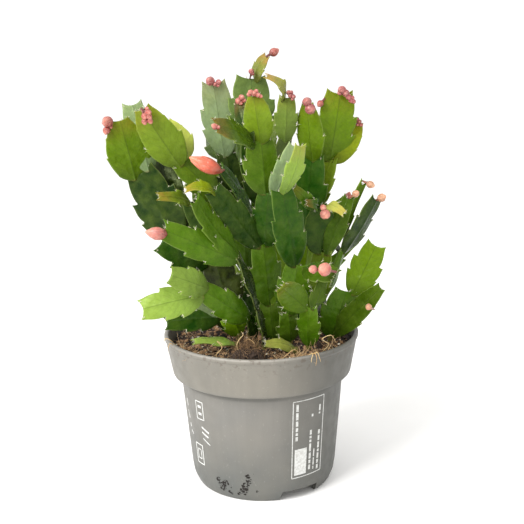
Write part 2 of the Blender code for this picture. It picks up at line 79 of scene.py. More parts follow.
class Tone(Enum):
    """Skin colours of the pads, each from the pad's base to its tip. The darkest ones are partly the pads' own dark
    green and partly painted shade of pads that lie in shadow among the others.
    """

    DEEP = ("#061e05", "#072005")
    # Near black: a dark pad's own colour with painted shadow over it.
    BROWN = ("#040505", "#060505")
    SHADE = ("#133705", "#163b05")
    SAGE = ("#365007", "#3c5507")
    LEAF = ("#375905", "#3e5e05")
    FRESH = ("#4f6d05", "#587405")
    LIME = ("#5a7215", "#647a17")
    GREY = ("#485c2f", "#506132")
    SILVER = ("#6e835d", "#798b62")
    PALE = ("#6d8738", "#79903b")
    GOLD = ("#6c7809", "#77800a")
    OLIVE = ("#868c3f", "#949542")


class PadForm(Enum):
    """Outlines of a pad: (midrib place, margin place, half-width share) rows."""

    CLAWED = ((0.00, 0.00, 0.14), (0.14, 0.14, 0.62), (0.35, 0.41, 1.00), (0.42, 0.42, 0.86),
              (0.61, 0.68, 0.97), (0.69, 0.69, 0.78), (1.00, 1.05, 0.56))
    OVAL = ((0.00, 0.00, 0.14), (0.12, 0.12, 0.62), (0.42, 0.47, 1.00), (0.49, 0.49, 0.93),
            (0.74, 0.78, 0.76), (1.00, 1.02, 0.36))
    SMALL = ((0.00, 0.00, 0.22), (0.28, 0.30, 0.84), (0.52, 0.60, 1.00), (0.62, 0.62, 0.80),
             (1.00, 1.06, 0.46))


class BudHue(Enum):
    """Bud colours: at the foot, over the belly and at the tip."""

    CORAL = ("#4a141c", "#96443e", "#b87a6c")
    ROSE = ("#4a161e", "#893b40", "#a46a64")
    SHELL = ("#6e2e2c", "#ae6058", "#c88c78")
    PEACH = ("#8a3826", "#c8553f", "#d87e5c")
    BLUSH = ("#784634", "#b07e60", "#c09474")
    MAROON = ("#40141a", "#743430", "#96544a")


class Cut(Enum):
    """How a part of a ring shape ends."""

    OPEN = 0
    FAN = 1


@dataclass(frozen=True)
class Pad:
    """One flat stem segment.

    path: one letter for each pad from the root up, so "aba" grows on "ab".
    side: place on the parent's tip edge, -1 at its left horn to 1 at its right.
    tip: where the midrib ends; width: across the widest claws.
    turn: degrees from facing the front, positive towards the right.
    bow: how far the middle bulges along its face; cup: how far its margins do.
    blush: how red its tip is; depth: brightness against its tone, partly the pad's own lightness and partly painted
    light and shade for the pad.
    """

    path: str
    side: float
    tip: Point
    width: float
    tone: Tone
    turn: float = 0.0
    bow: float = 0.0
    cup: float = 0.0
    form: PadForm = PadForm.CLAWED
    blush: float = 0.0
    depth: float = 1.0


@dataclass(frozen=True)
class Shoot:
    """A leafy shoot, which stands in the soil at root (x, y)."""

    name: str
    root: tuple[float, float]
    slot: str
    pads: tuple[Pad, ...]


@dataclass(frozen=True)
class Bead:
    """One bud: its middle, its width, how much longer than wide it is, and where it points if not off its seat."""

    place: Point
    width: float
    stretch: float = 1.2
    aim: Point | None = None


@dataclass(frozen=True)
class Bunch:
    """Buds on one pad's tip edge, at side, back behind it and lift off its face."""

    name: str
    shoot: str
    path: str
    side: float
    hue: BudHue
    slot: str
    beads: tuple[Bead, ...]
    back: float = 0.0
    lift: float = 0.0


SHOOTS: tuple[Shoot, ...] = (
    Shoot("shoot_front", (8, -10), "stem_bright", (
        Pad("a", 0, (6, -13, 115), 20, Tone.SAGE, turn=-15, bow=1, depth=0.8),
        Pad("aa", -0.2, (2, -22, 153), 20, Tone.LEAF, turn=20, bow=1),
        Pad("aaa", -0.4, (-24, -42, 188), 17, Tone.SHADE, turn=10, bow=-2, depth=0.75),
        Pad("aaaa", -0.2, (-39, -46, 190), 9, Tone.GOLD, turn=60, bow=3, cup=2, blush=0.32, depth=0.95),
        Pad("aab", 0.4, (6, -34, 185), 19, Tone.SHADE, turn=-20, bow=1, depth=1.1),
        Pad("aaba", -0.4, (2, -30, 214), 23, Tone.SAGE, turn=15, bow=1, depth=1.25),
        Pad("aabaa", 0.1, (-1, -34, 239), 17, Tone.LIME, turn=-10, bow=1, form=PadForm.OVAL, blush=0.16, depth=1.05),
        Pad("aabab", -0.8, (-10, -22, 235), 12, Tone.DEEP, turn=-30, bow=1, blush=0.18, depth=1.3),
        Pad("aabac", -0.6, (-21, -54, 225), 17, Tone.SAGE, turn=60, bow=2, blush=0.23, depth=0.9),
        Pad("aabb", 0.5, (21, -36, 211), 15, Tone.SILVER, turn=20, bow=1, depth=1.35),
        Pad("aac", -0.1, (-4, -12, 170), 10, Tone.SHADE),
        Pad("aaca", -0.3, (-20, -26, 198), 15, Tone.SHADE, turn=70, bow=1, depth=1.25),
        Pad("ab", 0.4, (13, -8, 152), 16, Tone.FRESH, turn=30, depth=1.3),
    )),
    Shoot("shoot_front_fork", (2, -23), "stem_bright", (
        Pad("a", 0, (-2, -29, 116), 12, Tone.DEEP, turn=75, bow=1, depth=0.6),
        Pad("aa", 0, (-12, -38, 149), 13, Tone.DEEP, turn=75, bow=1, depth=0.8),
        Pad("aaa", -0.3, (-51, -54, 169), 17, Tone.LEAF, turn=15, bow=2),
        Pad("aab", 0.3, (-34, -50, 184), 16, Tone.LEAF, turn=50, bow=-2, depth=1.05),
    )),
    Shoot("shoot_front_right", (17, -18), "stem_bright", (
        Pad("a", 0, (16, -25, 112), 16, Tone.SAGE, turn=25, bow=1, depth=1.05),
        Pad("aa", 0.2, (22, -34, 143), 21, Tone.LEAF, turn=-15, bow=1, depth=0.9),
        Pad("aaa", -0.3, (13, -46, 188), 20, Tone.SHADE, turn=25, bow=1, depth=1.25),
        Pad("aaaa", 0, (23, -52, 213), 13, Tone.PALE, turn=40, bow=2, blush=0.23, depth=1.3),
        Pad("aab", 0.6, (41, -54, 142), 15, Tone.SAGE, turn=-55, bow=1, depth=0.8),
    )),
    Shoot("shoot_low", (28, -27), "stem_bright", (
        Pad("a", 0, (28, -38, 119), 14, Tone.LEAF, turn=-20, bow=1, depth=1.05),
        Pad("aa", -0.3, (12, -52, 135), 17, Tone.FRESH, turn=10, bow=-3, form=PadForm.OVAL, blush=0.14, depth=0.7),
        Pad("ab", 0.5, (36, -37, 134), 10, Tone.SAGE, turn=20, depth=0.65),
    )),
    Shoot("shoot_right_low", (42, -9), "stem_green", (
        Pad("a", 0, (51, -16, 122), 23, Tone.LEAF, turn=10, bow=1, depth=0.9),
        Pad("aa", 0.7, (69, -14, 149), 19, Tone.FRESH, turn=-20, bow=-1, depth=0.95),
        Pad("b", 0, (69, -36, 129), 14, Tone.SAGE, turn=-25, bow=-1, cup=1, form=PadForm.OVAL, depth=0.9),
    )),
    Shoot("shoot_right", (38, 8), "stem_dark", (
        Pad("a", 0, (39, 4, 113), 10, Tone.DEEP, turn=50),
        Pad("aa", 0, (50, -4, 144), 10, Tone.LEAF, turn=50, bow=1, depth=1.1),
        Pad("aaa", 0.4, (70, -4, 175), 17, Tone.DEEP, turn=45, bow=1, depth=1.6),
        Pad("aab", -0.6, (46, 12, 147), 12, Tone.DEEP, turn=80, bow=1),
    )),
    Shoot("shoot_olive", (31, -1), "stem_dark", (
        Pad("a", 0, (33, -6, 113), 16, Tone.DEEP, turn=40, depth=0.6),
        Pad("aa", 0, (38, -10, 145), 17, Tone.LIME, turn=-25, depth=0.6),
        Pad("aaa", -0.4, (36, -14, 174), 22, Tone.SHADE, turn=20, form=PadForm.OVAL, depth=0.8),
        Pad("aaaa", -0.6, (28, -26, 178), 7, Tone.SHADE, turn=50, bow=2, cup=1, blush=0.32, depth=1.6),
        Pad("aaab", 0.9, (49, -22, 171), 8, Tone.OLIVE, turn=-50, bow=3, cup=1, blush=0.23, depth=1.4),
        Pad("aaac", -0.9, (21, -24, 186), 8, Tone.LEAF, turn=20, bow=2, cup=1, blush=0.18),
        Pad("aab", 0.4, (53, -10, 177), 12, Tone.LEAF, turn=-10, bow=1, depth=0.7),
        Pad("aac", 0.8, (62, -2, 184), 9, Tone.SAGE, turn=30, depth=1.35),
    )),
    Shoot("shoot_tall_right", (24, 10), "stem_green", (
        Pad("a", 0, (25, 14, 118), 16, Tone.SHADE, turn=-40, bow=1),
        Pad("aa", 0, (31, 15, 155), 17, Tone.FRESH, turn=30, bow=1, depth=1.45),
        Pad("aaa", -0.4, (33, 8, 199), 22, Tone.SHADE, turn=-15, bow=1, depth=1.5),
        Pad("aaaa", 0.1, (30, -2, 232), 17, Tone.FRESH, turn=-20, bow=1, form=PadForm.OVAL, blush=0.09, depth=1.15),
        Pad("aab", 0.4, (35, 16, 167), 13, Tone.SHADE, bow=1),
        Pad("aaba", 0.1, (45, 18, 197), 13, Tone.LIME, turn=-25, bow=1, depth=1.25),
        Pad("aabaa", -0.3, (50, 12, 237), 27, Tone.FRESH, turn=15, bow=1, blush=0.16, depth=1.1),
        Pad("aabab", 0.5, (62, 26, 219), 18, Tone.GOLD, turn=-25, bow=1, form=PadForm.OVAL, blush=0.14, depth=1.05),
    )),
    Shoot("shoot_crown", (-3, 10), "stem_green", (
        Pad("a", 0, (-6, 14, 128), 18, Tone.SHADE, turn=45, bow=1, depth=1.2),
        Pad("aa", -0.4, (-9, 14, 166), 20, Tone.LEAF, turn=-15, bow=1, depth=1.6),
        Pad("aaa", -0.4, (-19, 12, 202), 18, Tone.DEEP, turn=-5, bow=1, depth=0.8),
        Pad("aaaa", -0.2, (-25, 10, 244), 23, Tone.SILVER, turn=-15, bow=-1, blush=0.09, depth=0.95),
        Pad("aaab", -0.8, (-29, 30, 211), 12, Tone.GREY, turn=10, bow=2, depth=0.6),
        Pad("ab", 0.5, (2, 12, 172), 18, Tone.DEEP, turn=-45, bow=1),
        Pad("aba", -0.4, (-4, 8, 212), 19, Tone.SHADE, turn=30, bow=1, depth=0.6),
        Pad("abaa", 0, (-3, 12, 247), 29, Tone.GREY, turn=15, bow=1, depth=1.2),
        Pad("abaaa", 0.4, (6, 8, 260), 12, Tone.OLIVE, turn=-50, bow=2, cup=1, blush=0.41, depth=0.6),
        Pad("abb", 0.6, (17, 4, 211), 14, Tone.GREY, turn=25, bow=1, depth=0.6),
        Pad("abba", 0, (18, -2, 236), 14, Tone.PALE, turn=5, bow=1, blush=0.11, depth=0.8),
        Pad("abbaa", -0.7, (7, -8, 249), 9, Tone.OLIVE, turn=60, bow=5, cup=1, blush=0.41, depth=0.8),
    )),
    Shoot("shoot_left", (-14, -3), "stem_dark", (
        Pad("a", 0, (-19, -4, 111), 17, Tone.FRESH, turn=30, bow=1, depth=1.6),
        Pad("aa", -0.2, (-26, -4, 140), 26, Tone.BROWN, turn=-15, bow=1),
        Pad("aaa", -0.7, (-57, -16, 155), 23, Tone.SHADE, turn=20, bow=2),
        Pad("aab", -0.3, (-49, -4, 155), 15, Tone.SHADE),
        Pad("aaba", -0.4, (-70, 2, 193), 31, Tone.DEEP, turn=-15, bow=1, depth=1.15),
        Pad("aabaa", -0.6, (-80, -4, 225), 27, Tone.FRESH, turn=15, bow=2, form=PadForm.OVAL, blush=0.18, depth=0.85),
        Pad("aabab", 0.6, (-74, 10, 233), 19, Tone.SILVER, turn=10, bow=1, depth=1.05),
        Pad("aabb", 0.6, (-58, 12, 201), 19, Tone.DEEP, turn=-20, bow=1, depth=0.6),
        Pad("aac", 0.1, (-40, -12, 177), 15, Tone.SHADE, turn=5, bow=1, depth=0.6),
        Pad("aaca", 0, (-56, -30, 184), 9, Tone.LIME, turn=50, bow=3, cup=2, blush=0.36),
        Pad("aad", 0.6, (-22, -2, 179), 17, Tone.SHADE, turn=-30, bow=1),
        Pad("aada", -0.4, (-45, -6, 200), 19, Tone.SAGE, turn=30, bow=1, depth=1.3),
        Pad("aadaa", -0.3, (-65, -14, 232), 24, Tone.LIME, turn=-10, bow=1, form=PadForm.OVAL, blush=0.14),
        Pad("aadab", 0.8, (-54, 2, 223), 21, Tone.OLIVE, turn=25, bow=1, form=PadForm.OVAL, depth=1.6),
    )),
    Shoot("shoot_step", (-3, -17), "stem_bright", (
        Pad("a", 0, (-7, -25, 110), 9, Tone.DEEP, turn=50, depth=1.2),
        Pad("aa", -0.2, (-32, -41, 131), 17, Tone.LEAF, turn=20, bow=2),
        Pad("aaa", 0.4, (-49, -52, 143), 16, Tone.PALE, turn=25, bow=2, depth=0.8),
        Pad("aab", -0.5, (-66, -48, 123), 19, Tone.PALE, turn=25, bow=2, depth=1.05),
    )),
    Shoot("shoot_low_left", (-15, 6), "stem_green", (
        Pad("a", 0, (-26, 2, 103), 10, Tone.SHADE, turn=20),
        Pad("aa", -0.2, (-57, -9, 103), 15, Tone.SHADE, turn=45, bow=1, depth=0.8),
        Pad("ab", 0.6, (-42, 6, 112), 14, Tone.SILVER, turn=40, bow=1, depth=0.6),
    )),
    Shoot("shoot_soil_left", (-15, -21), "stem_bright", (
        Pad("a", 0, (-39, -28, 97), 9, Tone.PALE, turn=75, bow=2, depth=1.6),
    )),
    Shoot("shoot_soil_front", (20, -31), "stem_bright", (
        Pad("a", 0, (3, -35, 97), 9, Tone.OLIVE, turn=60, bow=2, cup=1, depth=0.7),
    )),
    Shoot("shoot_back_left", (-22, 20), "stem_green", (
        Pad("a", 0, (-27, 24, 120), 18, Tone.DEEP, turn=50, bow=-1),
        Pad("aa", 0, (-34, 32, 150), 20, Tone.LEAF, turn=50, bow=-1),
        Pad("aaa", -0.5, (-57, 38, 178), 19, Tone.LEAF, turn=50, bow=-2),
        Pad("aaaa", 0, (-61, 34, 207), 18, Tone.FRESH, turn=75, bow=-1, form=PadForm.OVAL, blush=0.14),
        Pad("aab", 0.6, (-33, 44, 189), 23, Tone.FRESH, turn=-15, bow=-1),
        Pad("ab", -0.6, (-44, 18, 144), 17, Tone.LEAF, turn=65, bow=-1),
        Pad("aba", -0.1, (-62, 22, 170), 19, Tone.FRESH, turn=50, bow=-2),
    )),
    Shoot("shoot_back", (0, 29), "stem_dark", (
        Pad("a", 0, (-1, 35, 121), 19, Tone.DEEP, turn=30, bow=-1),
        Pad("aa", 0, (-4, 41, 156), 21, Tone.SHADE, turn=-20, bow=-1),
        Pad("aaa", -0.5, (-15, 52, 187), 18, Tone.LEAF, turn=70, bow=-1),
        Pad("aaaa", 0, (-14, 50, 216), 17, Tone.FRESH, turn=50, bow=-1, form=PadForm.OVAL, blush=0.14),
        Pad("aab", 0.5, (4, 44, 190), 19, Tone.LEAF, turn=-40, bow=-1),
        Pad("aaba", 0, (14, 38, 222), 18, Tone.LIME, turn=-65, bow=1, blush=0.14),
        Pad("ab", 0.6, (14, 49, 146), 17, Tone.SHADE, turn=-20, bow=-2),
        Pad("aba", 0, (22, 66, 166), 18, Tone.LEAF, turn=20, bow=-3),
    )),
    Shoot("shoot_back_right", (27, 27), "stem_green", (
        Pad("a", 0, (31, 31, 120), 18, Tone.DEEP, turn=-60, bow=-1),
        Pad("aa", 0, (37, 39, 152), 20, Tone.SHADE, turn=-75, bow=-1),
        Pad("aaa", -0.2, (38, 44, 184), 19, Tone.LEAF, turn=55, bow=-1),
        Pad("aaaa", 0, (36, 38, 214), 18, Tone.LIME, turn=-70, bow=-1, form=PadForm.OVAL, blush=0.18),
        Pad("aab", 0.6, (56, 38, 167), 18, Tone.FRESH, turn=-50, bow=-2),
        Pad("ab", 0.6, (52, 26, 134), 17, Tone.LEAF, turn=-60, bow=-1),
        Pad("aba", 0, (66, 30, 158), 18, Tone.FRESH, turn=-75, bow=-2, form=PadForm.OVAL),
    )),
    Shoot("shoot_back_low", (-8, 42), "stem_bright", (
        Pad("a", 0, (-11, 51, 110), 13, Tone.LEAF, turn=10, bow=-2),
        Pad("aa", -0.6, (-30, 66, 122), 17, Tone.LIME, turn=15, bow=-3),
        Pad("ab", 0.6, (3, 70, 117), 16, Tone.FRESH, turn=-15, bow=-3),
    )),
)

CORAL, PEACH, PINK = "bud_coral", "bud_peach", "bud_pink"
BUNCHES: tuple[Bunch, ...] = (
    Bunch("buds_left_corner", "shoot_left", "aabaa", -1.3, BudHue.CORAL, CORAL, (
        Bead((-86.9, -8, 225.1), 6.2, 1.45), Bead((-87.6, -8, 219.9), 4.2), Bead((-85.2, -7, 222.2), 2.6)),
        back=-0.4),
    Bunch("buds_left_top", "shoot_left", "aadaa", 0.0, BudHue.CORAL, CORAL, (
        Bead((-61.3, -20, 230.7), 3.8), Bead((-63.4, -20, 228.6), 3.8), Bead((-60.9, -20, 228.2), 3.5),
        Bead((-63.6, -20, 225.6), 3.5), Bead((-60.4, -20, 225.9), 3.2), Bead((-61.9, -20, 233), 2.3)), lift=1.5),
    Bunch("buds_crown_left", "shoot_crown", "aaaa", -0.1, BudHue.ROSE, CORAL, (
        Bead((-27, 6, 246.7), 5.1, 1.3), Bead((-21.9, 6, 245.9), 3.3), Bead((-24.2, 6, 244.8), 2.7),
        Bead((-22.4, 6, 243.9), 2.2)), back=-0.6),
    Bunch("buds_crown", "shoot_crown", "abaa", -0.1, BudHue.ROSE, CORAL, (
        Bead((-2.5, 6, 251.8), 3.3), Bead((-1.6, 6, 250.4), 2.0)), back=-0.2, lift=1.6),
    Bunch("bud_summit", "shoot_crown", "abaaa", 0.6, BudHue.CORAL, CORAL, (
        Bead((11.2, 8, 262.6), 4.8, 1.45),), back=-0.8),
    Bunch("buds_crown_front", "shoot_front", "aabaa", 0.1, BudHue.CORAL, CORAL, (
        Bead((-2.9, -37, 241.6), 3.1), Bead((-0.9, -37, 241.1), 3.1), Bead((1.1, -37, 240.2), 2.8),
        Bead((-3.9, -37, 240.5), 2.5), Bead((0.2, -37, 242.2), 2.5), Bead((2.6, -37, 239.4), 2.2)), back=-0.6),
    Bunch("buds_crown_side", "shoot_front", "aabab", 0.0, BudHue.CORAL, CORAL, (
        Bead((-8, -25, 238.3), 3.4), Bead((-10, -25, 236.5), 3.4), Bead((-8.6, -25, 235.3), 2.6),
        Bead((-6.6, -25, 236.6), 2.4)), back=-1.3),
    Bunch("bud_front_left", "shoot_front", "aabac", -0.3, BudHue.CORAL, CORAL, (
        Bead((-22.3, -56, 225.1), 3.2, 1.3), Bead((-20.4, -56, 224.6), 2.2))),
    Bunch("buds_crown_right", "shoot_crown", "abba", 0.9, BudHue.ROSE, PINK, (
        Bead((18.7, -6, 239.6), 2.7), Bead((20.4, -6, 239.7), 2.4), Bead((19.7, -6, 237.7), 2.7),
        Bead((21.6, -6, 237.1), 2.7), Bead((21, -6, 235.8), 2.1)), back=-1.4),
    Bunch("buds_right_pair", "shoot_tall_right", "aaaa", 0.0, BudHue.ROSE, PINK, (
        Bead((29.3, -10, 234.3), 5.2, 1.35), Bead((31.3, -10, 230), 6.0, 1.1)), lift=1.5),
    Bunch("buds_right_top", "shoot_tall_right", "aabaa", 0.5, BudHue.ROSE, CORAL, (
        Bead((50.9, 8, 239.7), 4.8, 1.3), Bead((53.3, 8, 237.7), 4.2), Bead((55, 8, 235.4), 3.6),
        Bead((56.5, 8, 233.4), 3.0), Bead((58, 8, 232.8), 2.7), Bead((49.6, 8, 238), 3.0),
        Bead((57.4, 8, 235), 2.4)), back=-1.8),
    Bunch("bud_right_edge", "shoot_tall_right", "aabaa", -1.2, BudHue.CORAL, CORAL, (
        Bead((38, 8, 231.9), 3.8, 1.3),), back=4.0),
    Bunch("buds_right_corner", "shoot_tall_right", "aabab", 0.2, BudHue.MAROON, PINK, (
        Bead((61.1, 20, 221.4), 2.8), Bead((62.6, 20, 219.8), 2.8), Bead((63.8, 20, 217.8), 2.5),
        Bead((61.6, 20, 218.1), 2.2)), back=-0.8),
    Bunch("bud_large", "shoot_front", "aaca", 0.0, BudHue.PEACH, PEACH, (
        Bead((-29.1, -34, 202.2), 8.3, 2.4, (-18.1, 0, 8.8)),)),
    Bunch("bud_fork", "shoot_front_fork", "aaa", 0.0, BudHue.SHELL, PINK, (
        Bead((-56, -56, 167.9), 6.8, 1.8, (-11.9, 0, 1.9)),), back=-1.6),
    Bunch("bud_olive", "shoot_olive", "aab", 0.2, BudHue.BLUSH, PEACH, (
        Bead((57.2, -14, 180.8), 4.1, 1.3),), back=-0.4),
    Bunch("bud_olive_tip", "shoot_olive", "aac", 0.0, BudHue.BLUSH, PEACH, (
        Bead((66.8, -6, 184.7), 4.2, 1.5),), back=-1.8),
    Bunch("bud_right", "shoot_right", "aaa", 0.2, BudHue.BLUSH, PEACH, (
        Bead((73.5, -6, 176.9), 4.8, 1.35),)),
    Bunch("buds_young", "shoot_olive", "aaa", 0.0, BudHue.SHELL, PINK, (
        Bead((37.3, -26, 174.9), 3.5), Bead((38.4, -26, 170.9), 5.7, 1.25)), lift=2.4),
    Bunch("buds_low_right", "shoot_front_right", "aab", -0.3, BudHue.SHELL, CORAL, (
        Bead((35.3, -61, 147), 7.1, 1.15), Bead((29, -61, 147.1), 4.4, 1.2)), lift=1.5),
    Bunch("bud_low_edge", "shoot_right_low", "b", 2.5, BudHue.BLUSH, PEACH, (
        Bead((61.6, -43, 120.1), 3.6),), back=14.0),
    Bunch("buds_back_left", "shoot_back_left", "aaaa", 0.0, BudHue.CORAL, CORAL, (
        Bead((-61, 34, 210.8), 4.6, 1.4), Bead((-57.5, 36.8, 211.6), 3.4, 1.5), Bead((-63, 33, 209.4), 2.8))),
    Bunch("buds_back", "shoot_back", "aaaa", 0.1, BudHue.CORAL, CORAL, (
        Bead((-15.2, 51.8, 219.6), 4.6, 1.35), Bead((-11.6, 50.2, 219.1), 4.0, 1.4), Bead((-13.6, 51.6, 217.9), 2.8))),
    Bunch("bud_back_middle", "shoot_back", "aba", 0.0, BudHue.PEACH, PINK, (
        Bead((23.6, 70.2, 170.3), 6.4, 1.6),)),
    Bunch("buds_back_right", "shoot_back_right", "aab", 0.0, BudHue.CORAL, CORAL, (
        Bead((57.6, 38.5, 170.8), 4.4, 1.5), Bead((59.6, 40.2, 169.6), 3.4, 1.4))),
    Bunch("bud_back_low", "shoot_back_low", "aa", 0.0, BudHue.PEACH, PEACH, (
        Bead((-33.2, 70.2, 124.7), 6.0, 1.7),)),
)


# ---------------------------------------------------------------- shared tools


def linear(code: str) -> tuple[float, float, float, float]:
    """Turn an sRGB hex colour to linear.

    Args:
        code: the colour, such as "#4a7018".

    Returns:
        Linear red, green, blue and an alpha of 1.
    """
    shares = [int(code[place:place + 2], 16) / 255.0 for place in (1, 3, 5)]
    red, green, blue = (s / 12.92 if s <= 0.04045 else ((s + 0.055) / 1.055) ** 2.4 for s in shares)
    return red, green, blue, 1.0


def feed(tree: bpy.types.NodeTree, node: bpy.types.Node, settings: Settings) -> bpy.types.Node:
    """Set a node's properties and inputs, and link what feeds them.

    Args:
        tree: the node's tree.
        node: the node.
        settings: what it gets.

    Returns:
        The same node.
    """
    for name, value in settings.items():
        if isinstance(value, bpy.types.Node):
            value = value.outputs[0]
        if isinstance(value, bpy.types.NodeSocket):
            tree.links.new(value, node.inputs[name])
        elif isinstance(name, int) or name in node.inputs:
            node.inputs[name].default_value = value
        else:
            setattr(node, name, value)
    return node


def add_node(tree: bpy.types.NodeTree, kind: str, settings: Settings | None = None) -> bpy.types.Node:
    """Add a node of a kind to a tree, with its settings and links, and return it."""
    return feed(tree, tree.nodes.new(kind), settings or {})


def set_input(modifier: bpy.types.Modifier, name: str, value: Any) -> None:
    """Set a Geometry Nodes modifier's input by the identifier of its socket.

    Args:
        modifier: the modifier.
        name: the socket's name in the tree's interface.
        value: its value.
    """
    for item in modifier.node_group.interface.items_tree:
        if item.item_type == "SOCKET" and item.in_out == "INPUT" and item.name == name:
            modifier[item.identifier] = value
            return
    raise KeyError(name)


def new_tree(name: str, inputs: Iterable[tuple[str, str]]) -> tuple[bpy.types.NodeTree, bpy.types.Node]:
    """Start a Geometry Nodes tree.

    Args:
        name: the tree's name.
        inputs: each input's name and socket type, after the geometry.

    Returns:
        The tree and its group input node.
    """
    tree = bpy.data.node_groups.new(name, "GeometryNodeTree")
    tree.interface.new_socket("Geometry", in_out="INPUT", socket_type="NodeSocketGeometry")
    for title, kind in inputs:
        tree.interface.new_socket(title, in_out="INPUT", socket_type=kind)
    tree.interface.new_socket("Geometry", in_out="OUTPUT", socket_type="NodeSocketGeometry")
    return tree, tree.nodes.new("NodeGroupInput")


def end_tree(tree: bpy.types.NodeTree, geometry: bpy.types.Node, finish: bpy.types.NodeSocket) -> None:
    """End a tree in Realize Instances and Set Material.

    Args:
        tree: the tree.
        geometry: what it made.
        finish: the socket of its material.
    """
    real = add_node(tree, "GeometryNodeRealizeInstances", {0: geometry})
    dressed = add_node(tree, "GeometryNodeSetMaterial", {"Geometry": real, "Material": finish})
    add_node(tree, "NodeGroupOutput", {0: dressed})


def to_object(name: str, mesh: bpy.types.Mesh) -> bpy.types.Object:
    """Put a mesh into a new object of the scene, at the origin."""
    thing = bpy.data.objects.new(name, mesh)
    bpy.context.scene.collection.objects.link(thing)
    return thing


def evaluated_mesh(thing: bpy.types.Object) -> bpy.types.Mesh:
    """Return a plain mesh of an object with its modifiers."""
    bpy.context.view_layer.update()
    graph = bpy.context.evaluated_depsgraph_get()
    return bpy.data.meshes.new_from_object(thing.evaluated_get(graph), depsgraph=graph)


def grown(name: str, host: bpy.types.Mesh, tree: bpy.types.NodeTree, values: dict[str, Any]) -> bpy.types.Object:
    """Run a Geometry Nodes tree on a host mesh and keep its result as a plain mesh.

    Args:
        name: the piece's name.
        host: the mesh that it grows on, in the frame's metres.
        tree: the tree.
        values: its inputs by name.

    Returns:
        The piece, without its modifier.
    """
    thing = to_object(name, host)
    modifier = thing.modifiers.new("grow", "NODES")
    modifier.node_group = tree
    for title, value in values.items():
        set_input(modifier, title, value)
    mesh = evaluated_mesh(thing)
    thing.modifiers.remove(modifier)
    thing.data = mesh
    bpy.data.meshes.remove(host)
    return thing


def smooth_step(low: float, high: float, value: np.ndarray) -> np.ndarray:
    """Return 0 below low, 1 above high, and a smooth ramp between."""
    share = np.clip((value - low) / (high - low), 0.0, 1.0)
    return share * share * (3.0 - 2.0 * share)


@dataclass
class Scene:
    """The frame: where the pot's axis is, and how a piece joins it."""

    axis: Vector
    triangles: int = 0

    def place(self, points: np.ndarray) -> np.ndarray:
        """Turn millimetres from the pot's axis into the frame's metres."""
        return np.asarray(points, float) * MM + np.array((self.axis.x, self.axis.y, 0.0))

    def join(self, thing: bpy.types.Object, slot: str, *nodes: str) -> None:
        """Let a piece ride on the part's body.

        Args:
            thing: the piece.
            slot: the name of a material slot; it is not used.
            nodes: CAD nodes that it stands for.
        """
        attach(thing, BODY)
        if nodes:
            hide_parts(*nodes)
        thing.data.calc_loop_triangles()
        count = len(thing.data.loop_triangles)
        self.triangles += count
        LOG.info("%s: %d triangles", thing.name, count)


@dataclass
class Shell:
    """Points, faces and point attributes gathered for one mesh, in millimetres."""

    points: list[np.ndarray] = field(default_factory=list)
    faces: list[tuple[int, ...]] = field(default_factory=list)
    values: dict[str, list[np.ndarray]] = field(default_factory=dict)
    count: int = 0

    def add(self, points: np.ndarray, faces: Iterable[Sequence[int]], **values: np.ndarray) -> None:
        """Add one part.

        Args:
            points: its points, one row each.
            faces: its faces, by the part's own point numbers.
            values: an array for each attribute, one row for each point.
        """
        self.points.append(points)
        self.faces.extend(tuple(self.count + number for number in face) for face in faces)
        for name, rows in values.items():
            self.values.setdefault(name, []).append(rows)
        self.count += len(points)

    def rings(self, rings: np.ndarray, start: Cut = Cut.FAN, end: Cut = Cut.FAN, **values: np.ndarray) -> None:
        """Add a closed skin through rings of points.

        Args:
            rings: an array of (ring, point, 3).
            start: how the first ring is closed.
            end: how the last ring is closed.
            values: an array of (ring, ...) for each attribute.
        """
        count, around = rings.shape[:2]
        faces = ring_faces(count, around)
        points = rings.reshape(-1, 3)
        rows = {name: np.repeat(value, around, axis=0) for name, value in values.items()}
        for cut, ring in ((start, 0), (end, count - 1)):
            if cut is Cut.FAN:
                middle = len(points)
                points = np.vstack([points, rings[ring].mean(axis=0)])
                rows = {name: np.concatenate([value, values[name][ring][None]]) for name, value in rows.items()}
                faces += [(ring * around + n, ring * around + (n + 1) % around, middle) for n in range(around)]
        self.add(points, faces, **rows)

    def mesh(self, name: str, scene: Scene, paint: bpy.types.Material) -> bpy.types.Mesh:
        """Make the mesh, with faces turned outwards.

        Args:
            name: the mesh's name.
            scene: the frame that it is placed in.
            paint: its material.

        Returns:
            The mesh, smooth all over.
        """
        made = bpy.data.meshes.new(name)
        made.from_pydata(scene.place(np.vstack(self.points)), [], self.faces)
        for title, rows in self.values.items():
            data = np.concatenate(rows)
            if data.ndim == 2:
                kind, slot = ("FLOAT_COLOR", "color") if data.shape[1] == 4 else ("FLOAT_VECTOR", "vector")
            else:
                kind, slot = "FLOAT", "value"
            made.attributes.new(title, kind, "POINT").data.foreach_set(slot, data.ravel().astype(np.float32))
        shape = bmesh.new()
        shape.from_mesh(made)
        bmesh.ops.recalc_face_normals(shape, faces=shape.faces)
        shape.to_mesh(made)
        shape.free()
        made.shade_smooth()
        made.materials.append(paint)
        return made


def ring_faces(count: int, around: int) -> list[tuple[int, ...]]:
    """Return the quads between count rings of around points each."""
    return [(r * around + n, r * around + (n + 1) % around, (r + 1) * around + (n + 1) % around, (r + 1) * around + n)
            for r in range(count - 1) for n in range(around)]


def from_lowest(face: list[int]) -> list[int]:
    """Return a face's point numbers from its lowest on, going round the same way."""
    start = face.index(min(face))
    return face[start:] + face[:start]


def turned_rings(profile: Iterable[tuple[float, float]], around: int) -> np.ndarray:
    """Return a ring of points about the pot's axis for each (radius, height) of a profile."""
    turns = np.linspace(0.0, math.tau, around, endpoint=False)
    return np.array([[(r * math.cos(t), r * math.sin(t), z) for t in turns] for r, z in profile])


